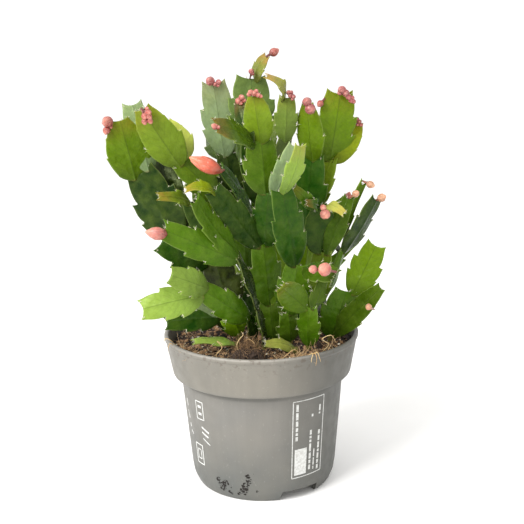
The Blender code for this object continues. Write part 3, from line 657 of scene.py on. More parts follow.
def side_axes(way: np.ndarray) -> tuple[np.ndarray, np.ndarray]:
    """Return two axes square to a direction and to each other."""
    helper = np.array((0.0, 0.0, 1.0)) if abs(way[2]) < 0.9 else np.array((1.0, 0.0, 0.0))
    first = np.cross(way, helper)
    first /= np.linalg.norm(first)
    return first, np.cross(way, first)


def tube_rings(path: np.ndarray, radii: Sequence[float], around: int) -> np.ndarray:
    """Return rings about a path, for a stalk, fibre or ribbon edge.

    Args:
        path: its points, one row each.
        radii: a radius for each point.
        around: points on each ring.

    Returns:
        An array of (ring, point, 3).
    """
    ways = np.gradient(path, axis=0)
    ways /= np.linalg.norm(ways, axis=1)[:, None]
    first, _ = side_axes(ways[0])
    rings = []
    for point, way, radius in zip(path, ways, radii):
        first = first - way * first.dot(way)
        first /= np.linalg.norm(first)
        second = np.cross(way, first)
        turns = [math.tau * n / around for n in range(around)]
        rings.append([point + radius * (math.cos(t) * first + math.sin(t) * second) for t in turns])
    return np.array(rings)


# -------------------------------------------------------------------- finishes


@dataclass(frozen=True)
class Finish:
    """What every finish shares: a named material and its nodes."""

    def start(self, name: str) -> tuple[bpy.types.Material, bpy.types.NodeTree, bpy.types.Node]:
        """Start a material.

        Args:
            name: its name.

        Returns:
            The material, its tree and its shader.
        """
        paint = bpy.data.materials.new(name)
        paint.use_nodes = True
        return paint, paint.node_tree, paint.node_tree.nodes["Principled BSDF"]

    def grain(self, tree: bpy.types.NodeTree, size_mm: float, low: float, high: float, detail: float = 3.0,
              stretch: Point = (1.0, 1.0, 1.0)) -> bpy.types.NodeSocket:
        """Add noise of one real size.

        Args:
            tree: the material's tree.
            size_mm: size of its patches.
            low: value of its dark patches.
            high: value of its light patches.
            detail: octaves of finer noise.
            stretch: how much finer it is along each axis.

        Returns:
            A socket from low to high.
        """
        place = add_node(tree, "ShaderNodeTexCoord")
        turned = add_node(tree, "ShaderNodeMapping", {"Scale": stretch, "Vector": place.outputs["Object"]})
        clouds = add_node(tree, "ShaderNodeTexNoise",
                          {"Scale": 1.0 / (size_mm * MM), "Detail": detail, "Vector": turned})
        return add_node(tree, "ShaderNodeMapRange", {
            "From Min": 0.32, "From Max": 0.68, "To Min": low, "To Max": high,
            "Value": clouds.outputs["Fac"]}).outputs[0]

    def amount(self, tree: bpy.types.NodeTree, *factors: Factor) -> bpy.types.NodeSocket:
        """Work out how much of something shows.

        Args:
            tree: the material's tree.
            factors: sockets and fades, which are multiplied.

        Returns:
            The socket of their product.
        """
        product = None
        for factor in factors:
            if isinstance(factor, tuple):
                value, start, end, low, high = factor
                factor = add_node(tree, "ShaderNodeMapRange", {
                    "interpolation_type": "SMOOTHSTEP", "From Min": start, "From Max": end, "To Min": low,
                    "To Max": high, "Value": value}).outputs[0]
            if product is not None:
                factor = add_node(tree, "ShaderNodeMath", {"operation": "MULTIPLY", 0: product, 1: factor}).outputs[0]
            product = factor
        return product

    def layers(self, tree: bpy.types.NodeTree, base: bpy.types.NodeSocket | str,
               *rows: tuple[str | Factor, ...]) -> bpy.types.NodeSocket:
        """Lay plain colours over a colour, one after the other.

        Args:
            tree: the material's tree.
            base: the colour beneath, as a socket or a hex code.
            rows: each layer's hex code, then the factors of how much of it shows.

        Returns:
            The socket of the mixed colour.
        """
        colour = linear(base) if isinstance(base, str) else base
        for over, *factors in rows:
            colour = add_node(tree, "ShaderNodeMix", {
                "data_type": "RGBA", 0: self.amount(tree, *factors), MIX_BASE: colour,
                MIX_OVER: linear(over)}).outputs[MIX_RESULT]
        return colour

    def relief(self, tree: bpy.types.NodeTree, *rows: tuple[bpy.types.NodeSocket, float, float]) -> bpy.types.Node:
        """Bump the surface with one height on top of the other.

        Args:
            tree: the material's tree.
            rows: each height from 0 to 1, the millimetres that 1 means, and how much of it shows.

        Returns:
            The node of the last bump, for the shader's normal.
        """
        below: Settings = {}
        for height, depth_mm, strength in rows:
            bump = add_node(tree, "ShaderNodeBump",
                            {"Strength": strength, "Distance": depth_mm * MM, "Height": height, **below})
            below = {"Normal": bump}
        return bump


@dataclass(frozen=True)
class WaxySkin(Finish):
    """Living cactus skin: a thin wax over wet green flesh.

    The wax gives a soft satin sheen in the flesh's own tint, the flesh under it
    glows a little, and the margins and the midrib are paler or darker lines.
    Each pad is also darkened towards its base with painted shade.
    """

    light: str = "#8ba03c"
    dark: str = "#1d2f0a"
    rib: str = "#24340e"
    margin: str = "#97a45a"
    # Painted shade: pads darken towards their bases, where they sit among the others.
    foot: str = "#16240a"
    joint: str = "#7a6a3a"
    flush: str = "#b2543c"
    tissue_mm: float = 6.0
    pore_mm: float = 0.9
    vein_slant: float = 0.34
    vein_waves: float = 44.0
    sheen: tuple[float, float, float, float] = (0.85, 1.0, 0.50, 1.0)
    glow: Point = (0.6, 1.0, 0.2)

    def veins(self, tree: bpy.types.NodeTree, along: bpy.types.NodeSocket,
              aside: bpy.types.NodeSocket) -> bpy.types.NodeSocket:
        """Add the side veins, which slant from the midrib towards the tip.

        Args:
            tree: the material's tree.
            along: the place along the pad, 0 at its base to 1 at its tip.
            aside: the place across it, 0 at the midrib to 1 at a margin.

        Returns:
            How much a vein shows.
        """
        slant = add_node(tree, "ShaderNodeMath", {"operation": "MULTIPLY", 0: aside, 1: self.vein_slant})
        run = add_node(tree, "ShaderNodeMath", {"operation": "SUBTRACT", 0: along, 1: slant})
        phase = add_node(tree, "ShaderNodeMath", {"operation": "MULTIPLY", 0: run, 1: self.vein_waves})
        wave = add_node(tree, "ShaderNodeMath", {"operation": "SINE", 0: phase})
        return self.amount(tree, (wave.outputs[0], 0.80, 1.0, 0.0, 0.11))

    def make(self) -> bpy.types.Material:
        """Return the material."""
        paint, tree, shader = self.start("waxy_cactus_skin")
        along, blush, across = (add_node(tree, "ShaderNodeAttribute", {"attribute_name": name}).outputs["Fac"]
                                for name in ("along", "blush", "across"))
        skin = add_node(tree, "ShaderNodeAttribute", {"attribute_name": "skin"})
        aside = add_node(tree, "ShaderNodeMath", {"operation": "ABSOLUTE", 0: across}).outputs[0]
        veins = self.veins(tree, along, aside)
        colour = self.layers(
            tree, skin.outputs["Color"],
            (self.light, self.grain(tree, self.tissue_mm, 0.0, 0.12)),
            (self.dark, self.grain(tree, 2.2, 0.15, 0.0)),
            (self.rib, veins),
            (self.rib, (aside, 0.0, 0.055, 0.42, 0.0)),
            (self.margin, (aside, 0.965, 1.0, 0.0, 0.22)),
            # Painted shade, darkest at each pad's base.
            (self.foot, (along, 0.02, 0.42, 0.34, 0.0)),
            (self.joint, (along, 0.0, 0.045, 0.35, 0.0)),
            (self.flush, blush, self.grain(tree, 3.0, 0.45, 1.0)))
        feed(tree, shader, {
            "Base Color": colour, "Roughness": self.grain(tree, 3.5, 0.20, 0.34), "IOR": 1.38,
            "Specular IOR Level": 0.28, "Specular Tint": self.sheen, "Subsurface Weight": 0.10,
            "Subsurface Radius": self.glow, "Subsurface Scale": 1.2 * MM,
            "Normal": self.relief(tree, (self.grain(tree, self.tissue_mm, 0.0, 1.0, 1.0), 0.5, 0.7),
                                  (self.grain(tree, self.pore_mm, 0.0, 1.0, 1.0), 0.06, 0.5), (veins, 0.5, 0.5))})
        return paint


@dataclass(frozen=True)
class BudSkin(Finish):
    """Young petals: thin, moist and tightly wrapped, so they shine a little and glow at their tips."""

    bloom: str = "#d59a86"
    glow: Point = (1.0, 0.35, 0.3)

    def make(self) -> bpy.types.Material:
        """Return the material."""
        paint, tree, shader = self.start("moist_bud_petals")
        skin = add_node(tree, "ShaderNodeAttribute", {"attribute_name": "skin"})
        colour = self.layers(tree, skin.outputs["Color"], (self.bloom, self.grain(tree, 1.6, 0.0, 0.25)))
        feed(tree, shader, {
            "Base Color": colour, "Roughness": self.grain(tree, 1.0, 0.28, 0.42), "IOR": 1.4,
            "Subsurface Weight": 0.30, "Subsurface Radius": self.glow, "Subsurface Scale": 1.0 * MM,
            "Normal": self.relief(tree, (self.grain(tree, 0.7, 0.0, 1.0, 1.0), 0.06, 0.5))})
        return paint


@dataclass(frozen=True)
class MouldedPot(Finish):
    """Recycled polypropylene, injection moulded: matt warm grey with flow streaks, scuffs and a dusty rim.
    Its colour also holds painted shade on both sides and, with some dirt, in the crease under the collar, and a
    painted highlight along the lip.

    Heights and places in make are metres in the frame.
    """

    collar: str = "#757168"
    body: str = "#6f6d68"
    low: str = "#575956"
    # Painted highlight along the top of the rolled lip.
    lip: str = "#98938b"
    streak: str = "#5b5a54"
    cloud: str = "#868074"
    scuff: str = "#c9c7c0"
    # Painted shade for the sides, and for the crease under the collar, where some dirt is mixed in.
    wear_and_shade: str = "#3f403c"
    dirt: str = "#4a3a2c"
    upright: Point = (1.0, 1.0, 0.05)

    def make(self) -> bpy.types.Material:
        """Return the material."""
        paint, tree, shader = self.start("moulded_polypropylene_grey")
        place = add_node(tree, "ShaderNodeTexCoord")
        axes = add_node(tree, "ShaderNodeSeparateXYZ", {0: place.outputs["Object"]})
        aside, height = axes.outputs["X"], axes.outputs["Z"]
        colour = self.layers(
            tree, self.low,
            (self.body, (height, 0.004, 0.052, 0.0, 1.0)),
            (self.collar, (height, 0.066, 0.074, 0.0, 1.0)),
            # Painted highlight along the lip.
            (self.lip, (height, 0.0936, 0.0944, 0.0, 0.8)),
            # Painted shade, with some dirt, in the crease under the collar.
            (self.wear_and_shade, (height, 0.0655, 0.0675, 0.0, 0.6), (height, 0.0690, 0.0702, 1.0, 0.0)),
            (self.streak, self.grain(tree, 5.0, 0.0, 0.30, 4.0, self.upright)),
            (self.cloud, self.grain(tree, 26.0, 0.0, 0.22, 2.0)),
            (self.scuff, (self.grain(tree, 1.4, -16.0, 1.2, 2.0, (1.0, 1.0, 0.55)), 0.85, 1.7, 0.0, 0.16)),
            # Painted shade: darker towards the right side and, less, towards the left.
            (self.wear_and_shade, (aside, 0.012, 0.052, 0.0, 0.72)),
            (self.wear_and_shade, (aside, -0.044, -0.006, 0.24, 0.0)),
            (self.dirt, (height, 0.080, 0.0935, 0.0, 1.0),
             (self.grain(tree, 2.4, 0.0, 1.0, 4.0), 0.66, 0.98, 0.0, 0.45)))
        feed(tree, shader, {
            "Base Color": colour, "Roughness": self.grain(tree, 7.0, 0.42, 0.60), "IOR": 1.49,
            "Normal": self.relief(tree, (self.grain(tree, 0.5, 0.0, 1.0, 2.0), 0.03, 0.6),
                                  (self.grain(tree, 9.0, 0.0, 1.0, 1.0, (1.0, 1.0, 0.1)), 0.18, 0.5))})
        return paint


@dataclass(frozen=True)
class PrintInk(Finish):
    """White pad-printed ink, worn thin: matt, with the grey of the plastic showing through."""

    ink: str = "#cdcecb"
    wear_and_shade: str = "#aeada8"

    def make(self) -> bpy.types.Material:
        """Return the material."""
        paint, tree, shader = self.start("pad_printed_white_ink")
        colour = self.layers(tree, self.ink, (self.wear_and_shade, self.grain(tree, 1.2, -0.4, 1.0)))
        feed(tree, shader, {"Base Color": colour, "Roughness": 0.6})
        return paint


@dataclass(frozen=True)
class PeatSoil(Finish):
    """Peat and bark compost: dark, crumbly and dull, with tan flecks of bark."""

    dark: str = "#110b07"
    peat: str = "#2b1c12"
    bark: str = "#7d5a3c"

    def make(self) -> bpy.types.Material:
        """Return the material."""
        paint, tree, shader = self.start("peat_compost")
        colour = self.layers(tree, self.dark, (self.peat, self.grain(tree, 2.0, 0.0, 1.0, 4.0)),
                             (self.bark, (self.grain(tree, 1.1, 0.0, 1.0), 0.8, 1.0, 0.0, 0.6)))
        feed(tree, shader, {"Base Color": colour, "Roughness": 0.95,
                            "Normal": self.relief(tree, (self.grain(tree, 0.8, 0.0, 1.0, 4.0), 0.5, 0.8))})
        return paint


@dataclass(frozen=True)
class Litter(Finish):
    """Small dry matter in two colours, mixed by each bit's own shade: bark crumbs, fibres, perlite or bristles."""

    name: str
    low: str
    high: str
    roughness: float = 0.85

    def make(self) -> bpy.types.Material:
        """Return the material."""
        paint, tree, shader = self.start(self.name)
        shade = add_node(tree, "ShaderNodeAttribute", {"attribute_name": "shade"})
        colour = self.layers(tree, self.low, (self.high, shade.outputs["Fac"]),
                             (self.low, self.grain(tree, 0.9, 0.0, 0.4)))
        feed(tree, shader, {"Base Color": colour, "Roughness": self.roughness,
                            "Normal": self.relief(tree, (self.grain(tree, 0.5, 0.0, 1.0), 0.1, 0.6))})
        return paint


@dataclass(frozen=True)
class StudioFloor(Finish):
    """Matt white seamless paper, a little off white."""

    tint: str = "#f8f7f5"
    shade: str = "#f3f2ef"

    def make(self) -> bpy.types.Material:
        """Return the material."""
        paint, tree, shader = self.start("seamless_paper")
        colour = self.layers(tree, self.tint, (self.shade, self.grain(tree, 60.0, 0.0, 0.5)))
        feed(tree, shader, {"Base Color": colour, "Roughness": 0.9})
        return paint


# ----------------------------------------------------------------- growth trees


def real_copies(tree: bpy.types.NodeTree, seed: bpy.types.NodeSocket, settings: Settings) -> bpy.types.Node:
    """Put a copy on each point, give each its own random "shade", and make them real.

    Args:
        tree: the tree.
        seed: the socket of the seed.
        settings: the points, the copied instance, its rotation and its scale.

    Returns:
        The node that gives the copies.
    """
    placed = add_node(tree, "GeometryNodeInstanceOnPoints", settings)
    shade = add_node(tree, "FunctionNodeRandomValue", {"data_type": "FLOAT", LEAST: 0.0, MOST: 1.0, "Seed": seed})
    marked = add_node(tree, "GeometryNodeStoreNamedAttribute", {
        "data_type": "FLOAT", "domain": "INSTANCE", "Name": "shade", "Geometry": placed,
        "Value": shade.outputs[NUMBER]})
    return add_node(tree, "GeometryNodeRealizeInstances", {0: marked})


def shaken(tree: bpy.types.NodeTree, geometry: bpy.types.Node, scale: float | bpy.types.NodeSocket,
           reach: bpy.types.NodeSocket | bpy.types.Node) -> bpy.types.Node:
    """Move every point by smooth noise.

    Args:
        tree: the tree.
        geometry: the node of what is moved.
        scale: waves of the noise per metre.
        reach: twice the furthest move along an axis.

    Returns:
        The node that gives the moved geometry.
    """
    place = add_node(tree, "GeometryNodeInputPosition")
    waves = add_node(tree, "ShaderNodeTexNoise", {"Detail": 1.0, "Vector": place, "Scale": scale})
    centred = add_node(tree, "ShaderNodeVectorMath",
                       {"operation": "SUBTRACT", 0: waves.outputs["Color"], 1: (0.5, 0.5, 0.5)})
    offset = add_node(tree, "ShaderNodeVectorMath", {"operation": "SCALE", 0: centred, "Scale": reach})
    return add_node(tree, "GeometryNodeSetPosition", {"Geometry": geometry, "Offset": offset})


def strand_tree() -> bpy.types.NodeTree:
    """Build the tree that grows tufts of thin curly strands on a mesh's points.

    Each point's "aim" is the tuft's direction and its "reach" the share of the
    length that its strands have.

    Returns:
        The tree, with inputs for the tuft's count, sizes, curl, seed and finish.
    """
    tree, start = new_tree("strand_tufts", (
        ("Count", "NodeSocketInt"), ("Length", "NodeSocketFloat"), ("Radius", "NodeSocketFloat"),
        ("Spread", "NodeSocketFloat"), ("Curl", "NodeSocketFloat"), ("Curl Size", "NodeSocketFloat"),
        ("Steps", "NodeSocketInt"), ("Seed", "NodeSocketInt"), ("Finish", "NodeSocketMaterial")))
    given = start.outputs
    seed = given["Seed"]
    copies = add_node(tree, "GeometryNodeDuplicateElements",
                      {"domain": "POINT", "Geometry": given["Geometry"], "Amount": given["Count"]})
    aim = add_node(tree, "GeometryNodeInputNamedAttribute", {"data_type": "FLOAT_VECTOR", "Name": "aim"})
    reach = add_node(tree, "GeometryNodeInputNamedAttribute", {"data_type": "FLOAT", "Name": "reach"})
    anyway = add_node(tree, "FunctionNodeRandomValue",
                      {"data_type": "FLOAT_VECTOR", 0: (-1, -1, -1), 1: (1, 1, 1), "Seed": seed})
    stray = add_node(tree, "ShaderNodeVectorMath", {"operation": "SCALE", 0: anyway, "Scale": given["Spread"]})
    way = add_node(tree, "ShaderNodeVectorMath", {"operation": "ADD", 0: aim, 1: stray})
    turn = add_node(tree, "FunctionNodeAlignRotationToVector", {"axis": "Z", "Vector": way})
    angle = add_node(tree, "FunctionNodeRandomValue", {"data_type": "FLOAT", LEAST: 0.0, MOST: math.tau, "Seed": seed})
    spin = add_node(tree, "FunctionNodeAxisAngleToRotation", {"Axis": (0, 0, 1), "Angle": angle.outputs[NUMBER]})
    turned = add_node(tree, "FunctionNodeRotateRotation", {"rotation_space": "LOCAL", 0: turn, 1: spin})
    uneven = add_node(tree, "FunctionNodeRandomValue", {"data_type": "FLOAT", LEAST: 0.55, MOST: 1.15, "Seed": seed})
    whole = add_node(tree, "ShaderNodeMath", {"operation": "MULTIPLY", 0: uneven.outputs[NUMBER], 1: given["Length"]})
    size = add_node(tree, "ShaderNodeMath", {"operation": "MULTIPLY", 0: whole, 1: reach})
    strand = add_node(tree, "GeometryNodeCurveQuadraticBezier", {
        "Start": (0, 0, 0), "Middle": (0.05, 0, 0.55), "End": (0.38, 0, 0.9), "Resolution": given["Steps"]})
    loose = real_copies(tree, seed, {"Points": copies, "Instance": strand, "Rotation": turned, "Scale": size})
    part = add_node(tree, "GeometryNodeSplineParameter").outputs["Factor"]
    curl = add_node(tree, "ShaderNodeMath", {"operation": "MULTIPLY", 0: part, 1: given["Curl"]})
    bent = shaken(tree, loose, given["Curl Size"], curl)
    taper = add_node(tree, "ShaderNodeMath", {"operation": "MULTIPLY_ADD", 0: part, 1: -0.65, 2: 1.0})
    thick = add_node(tree, "ShaderNodeMath", {"operation": "MULTIPLY", 0: taper, 1: given["Radius"]})
    section = add_node(tree, "GeometryNodeCurvePrimitiveCircle", {"Resolution": 3, "Radius": 1.0})
    tube = add_node(tree, "GeometryNodeCurveToMesh",
                    {"Curve": bent, "Profile Curve": section, "Scale": thick, "Fill Caps": True})
    end_tree(tree, tube, given["Finish"])
    return tree


def crumb_tree() -> bpy.types.NodeTree:
    """Build the tree that scatters lumpy crumbs over a mesh's faces.

    Most crumbs are small: their size goes with a random share to the power of 2.6.

    Returns:
        The tree, with inputs for density, sizes, flatness, lumps, faces, seed and finish.
    """
    tree, start = new_tree("scattered_crumbs", (
        ("Density", "NodeSocketFloat"), ("Small", "NodeSocketFloat"), ("Large", "NodeSocketFloat"),
        ("Flat", "NodeSocketFloat"), ("Lumps", "NodeSocketFloat"), ("Faces", "NodeSocketInt"),
        ("Seed", "NodeSocketInt"), ("Finish", "NodeSocketMaterial")))
    given = start.outputs
    seed = given["Seed"]
    spots = add_node(tree, "GeometryNodeDistributePointsOnFaces",
                     {"Mesh": given["Geometry"], "Density": given["Density"], "Seed": seed})
    lump = add_node(tree, "GeometryNodeMeshIcoSphere", {"Radius": 0.5, "Subdivisions": given["Faces"]})
    angles = add_node(tree, "FunctionNodeRandomValue", {
        "data_type": "FLOAT_VECTOR", 0: (-0.5, -0.5, -math.pi), 1: (0.5, 0.5, math.pi), "Seed": seed})
    loose = add_node(tree, "FunctionNodeEulerToRotation", {0: angles})
    laid = add_node(tree, "FunctionNodeRotateRotation",
                    {"rotation_space": "LOCAL", 0: spots.outputs["Rotation"], 1: loose})
    chance = add_node(tree, "FunctionNodeRandomValue", {"data_type": "FLOAT", LEAST: 0.0, MOST: 1.0, "Seed": seed})
    few = add_node(tree, "ShaderNodeMath", {"operation": "POWER", 0: chance.outputs[NUMBER], 1: 2.6})
    size = add_node(tree, "ShaderNodeMapRange", {"Value": few, "To Min": given["Small"], "To Max": given["Large"]})
    low = add_node(tree, "ShaderNodeCombineXYZ", {0: 1.0, 1: 1.0, 2: given["Flat"]})
    uneven = add_node(tree, "FunctionNodeRandomValue", {
        "data_type": "FLOAT_VECTOR", 0: (0.6, 0.6, 0.6), 1: (1.3, 1.0, 1.0), "Seed": seed})
    pressed = add_node(tree, "ShaderNodeVectorMath", {"operation": "MULTIPLY", 0: uneven, 1: low})
    sized = add_node(tree, "ShaderNodeVectorMath", {"operation": "SCALE", 0: pressed, "Scale": size})
    bits = real_copies(tree, seed, {"Points": spots, "Instance": lump, "Rotation": laid, "Scale": sized})
    end_tree(tree, shaken(tree, bits, 1.0 / (0.7 * MM), given["Lumps"]), given["Finish"])
    return tree


@dataclass(frozen=True)
class CrumbKind:
    """How crumbs lie: their number on a square millimetre and their sizes in millimetres."""

    density: float
    small: float
    large: float
    flat: float
    lumps: float
    faces: int
    seed: int

    def values(self, paint: bpy.types.Material) -> dict[str, Any]:
        """Return the crumb tree's inputs."""
        return {"Density": self.density / MM ** 2, "Small": self.small * MM, "Large": self.large * MM,
                "Flat": self.flat, "Lumps": self.lumps * MM, "Faces": self.faces, "Seed": self.seed, "Finish": paint}


@dataclass(frozen=True)
class StrandKind:
    """How strands grow: their number in a tuft, their sizes in millimetres and their waves on a millimetre."""

    count: int
    length: float
    radius: float
    spread: float
    curl: float
    waves: float
    steps: int = 9
    seed: int = 3

    def values(self, paint: bpy.types.Material) -> dict[str, Any]:
        """Return the strand tree's inputs."""
        return {"Count": self.count, "Length": self.length * MM, "Radius": self.radius * MM, "Spread": self.spread,
                "Curl": self.curl * MM, "Curl Size": self.waves / MM, "Steps": self.steps, "Seed": self.seed,
                "Finish": paint}


# ------------------------------------------------------------------------- pot


@dataclass
class NurseryPot:
    """The round pot: a tapered body on a ring foot, with a wider collar and a rolled lip."""

    height: float = 95.0
    rim: float = 60.0
    collar_foot: tuple[float, float] = (55.3, 71.0)
    body_top: tuple[float, float] = (50.2, 68.0)
    body_low: tuple[float, float] = (45.3, 12.0)
    foot: float = 41.5
    wall: float = 1.3
    foot_wall: float = 3.2
    floor: float = 6.0
    rounding: float = 0.7
    steps: int = 160
    gaps: tuple[float, ...] = (30.0, 150.0, 270.0)
    gap_size: Point = (25.0, 14.0, 12.4)
    gap_bevel: float = 1.2
    drains: int = 5
    drain_radius: float = 4.0
    drain_circle: float = 24.0

    def radius_at(self, z: float) -> float:
        """Return the outer radius of the body or collar at a height."""
        heights, radii = zip((0.0, self.foot), (1.6, self.foot + 1.0), (6.0, self.body_low[0] - 0.9),
                             self.body_low[::-1], self.body_top[::-1], self.collar_foot[::-1], (91.8, self.rim - 0.8))
        return float(np.interp(z, heights, radii))

    def inside(self) -> list[tuple[float, float]]:
        """Return the inner side as (radius, height), from the floor up."""
        low, top = self.body_low[0] - self.wall, self.body_top[0] - self.wall
        return [(low - 2.0, self.floor + self.wall), (low, 12.0), (top, 70.0),
                (self.collar_foot[0] - self.wall, 72.5), (self.rim - self.wall - 1.4, 94.0)]

    def profile(self) -> np.ndarray:
        """Return the whole wall's outline with its corners rounded."""
        rim, top, low, foot = self.rim, self.body_top[0], self.body_low[0], self.foot
        sharp = self.inside() + [
            (rim - 2.2, self.height), (rim - 0.5, self.height), (rim, 94.4), (rim, 92.6), (rim - 0.8, 91.8),
            self.collar_foot, (self.collar_foot[0] - 0.6, 70.2), (top + 0.8, 69.2), self.body_top,
            self.body_low, (low - 0.9, 6.0), (foot + 1.0, 1.6), (foot, 0.0), (foot - self.foot_wall, 0.0),
            (foot - self.foot_wall, self.floor), (foot - self.foot_wall - 8.0, self.floor)]
        points = [np.array(p) for p in [(12.0, self.floor + self.wall)] + sharp + [(12.0, self.floor)]]
        out = [points[0]]
        for before, corner, after in zip(points, points[1:], points[2:]):
            for other in (before, after):
                reach = other - corner
                span = min(self.rounding, 0.4 * float(np.linalg.norm(reach)))
                out.append(corner + reach / np.linalg.norm(reach) * span)
            out.insert(-1, 0.5 * corner + 0.25 * (out[-2] + out[-1]))
        return np.array(out + [points[-1]])

    def cutters(self) -> bmesh.types.BMesh:
        """Return the blocks and cylinders that open the foot ring and the floor."""
        shape = bmesh.new()
        for angle in self.gaps:
            turn = Matrix.Rotation(math.radians(angle), 4, "Z")
            place = turn @ Matrix.Translation((0.0, -self.foot, 0.0)) @ Matrix.Diagonal((*self.gap_size, 1.0))
            cube = bmesh.ops.create_cube(shape, size=1.0, matrix=place)
            edges = list(dict.fromkeys(edge for corner in cube["verts"] for edge in corner.link_edges))
            bmesh.ops.bevel(shape, geom=edges, offset=self.gap_bevel, segments=3, profile=0.5, affect="EDGES")
        for number in range(self.drains):
            turn = math.tau * number / self.drains
            place = Matrix.Translation((self.drain_circle * math.sin(turn), self.drain_circle * math.cos(turn),
                                        self.floor))
            bmesh.ops.create_cone(shape, cap_ends=True, segments=32, radius1=self.drain_radius,
                                  radius2=self.drain_radius, depth=10.0, matrix=place)
        return shape

    def build(self, scene: Scene) -> None:
        """Make the pot.

        Args:
            scene: the frame that it joins.
        """
        shell = Shell()
        shell.rings(turned_rings(self.profile(), self.steps))
        paint = MouldedPot().make()
        pot = to_object("nursery_pot", shell.mesh("nursery_pot", scene, paint))
        shape = self.cutters()
        shape.verts.index_update()
        block = bpy.data.meshes.new("openings")
        # A bevel gives its faces in any order, so they are sorted to give the same mesh each run.
        block.from_pydata(scene.place([corner.co for corner in shape.verts]), [],
                          sorted(from_lowest([corner.index for corner in face.verts]) for face in shape.faces))
        shape.free()
        cutter = to_object("openings", block)
        cut = pot.modifiers.new("openings", "BOOLEAN")
        cut.operation, cut.object, cut.solver = "DIFFERENCE", cutter, "EXACT"
        mesh = evaluated_mesh(pot)
        pot.modifiers.remove(cut)
        pot.data = mesh
        bpy.data.objects.remove(cutter)
        mesh.shade_smooth()
        mesh.set_sharp_from_angle(angle=math.radians(42))
        scene.join(pot, "pot_plastic", "pot")


@dataclass(frozen=True)
class Stroke:
    """A line of ink through (degrees right of the front, height) points."""

    path: tuple[tuple[float, float], ...]
    width: float = 0.7


@dataclass
class PotMarks:
    """Plain printed frames, squares, bars and dashes on the pot's side: no letters and no signs."""

    pot: NurseryPot
    thickness: float = 0.12
    sunk: float = 0.05
    step: float = 1.2
    dash: tuple[float, float] = (1.4, 5.2)
    dash_gap: float = 0.9

    def frames(self) -> list[Stroke]:
        """Return the frame on the right with its plain square, and the plain squares and bars on the left."""
        return [
            Stroke(((21, 64.5), (47, 64.5), (48, 15), (21, 14.5), (21, 64.5)), 0.48),
            Stroke(((23, 24.8), (33, 24.8)), 17.0),
            Stroke(((-54, 60.5), (-46.5, 60.5), (-46.5, 49), (-54, 49), (-54, 60.5)), 0.6),
            Stroke(((-52, 57.2), (-48.5, 57.2)), 1.6), Stroke(((-52, 52.6), (-48.5, 52.6)), 1.6),
            Stroke(((-50, 44), (-42.5, 41.5)), 1.0), Stroke(((-50, 40.6), (-43.5, 38.4)), 1.0),
            Stroke(((-49.5, 36.6), (-42.5, 33.6)), 0.6),
            Stroke(((-61, 31), (-52, 31), (-52, 18), (-61, 18), (-61, 31)), 0.7),
            Stroke(((-58.8, 27.5), (-54.4, 27.5), (-54.4, 21.5), (-58.8, 21.5), (-58.8, 27.5)), 0.6),
            Stroke(((-69, 57.5), (-68.2, 53)), 0.8), Stroke(((-69, 50), (-67.5, 45)), 0.8),
            Stroke(((-67.5, 42), (-66.8, 39.5)), 0.8), Stroke(((-66.6, 37.5), (-64, 35.4)), 0.8)]

    def bars(self) -> list[Stroke]:
        """Return columns of plain upright dashes inside the frame."""
        rng = np.random.default_rng(5)
        strokes = []
        for angle, top, foot, wide in ((24.2, 62.5, 39, 1.5), (36, 44, 17.5, 1.4), (39.8, 31, 17.5, 0.8),
                                       (44, 42.5, 16.5, 1.4), (36.8, 54.3, 52.4, 1.2), (43.4, 59, 53, 1.2)):
            z = top
            while z > foot + 0.8:
                end = max(foot, z - rng.uniform(*self.dash))
                strokes.append(Stroke(((angle, z), (angle, end)), wide))
                z = end - self.dash_gap
        return strokes

    def ribbon(self, shell: Shell, stroke: Stroke) -> None:
        """Lay one stroke on the pot as a thin closed ribbon.

        Args:
            shell: the mesh that takes it.
            stroke: the line.
        """
        flat = np.array([(math.radians(angle) * self.pot.radius_at(z), z) for angle, z in stroke.path])
        spans = np.linalg.norm(np.diff(flat, axis=0), axis=1)
        marks = np.concatenate([[0.0], np.cumsum(spans)])
        count = max(2, int(marks[-1] / self.step) + 1)
        places = np.unique(np.concatenate([np.linspace(0, marks[-1], count), marks]))
        line = np.stack([np.interp(places, marks, flat[:, axis]) for axis in (0, 1)], axis=1)
        ways = np.gradient(line, axis=0)
        ways /= np.linalg.norm(ways, axis=1)[:, None]
        aside = np.stack([-ways[:, 1], ways[:, 0]], axis=1) * 0.5 * stroke.width
        rings = []
        for point, off in zip(line, aside):
            ring = []
            for sign, proud in ((-1, -self.sunk), (1, -self.sunk), (1, self.thickness), (-1, self.thickness)):
                u, z = point + sign * off
                radius = self.pot.radius_at(z)
                turn = u / self.pot.radius_at(point[1])
                ring.append(((radius + proud) * math.sin(turn), -(radius + proud) * math.cos(turn), z))
            rings.append(ring)
        shell.rings(np.array(rings))

    def build(self, scene: Scene) -> None:
        """Make every mark, in one piece.

        Args:
            scene: the frame that it joins.
        """
        shell = Shell()
        for stroke in self.frames() + self.bars():
            self.ribbon(shell, stroke)
        marks = to_object("printed_frames", shell.mesh("printed_frames", scene, PrintInk().make()))
        marks.data.set_sharp_from_angle(angle=math.radians(30))
        scene.join(marks, "pot_plastic")


# ------------------------------------------------------------------------ soil


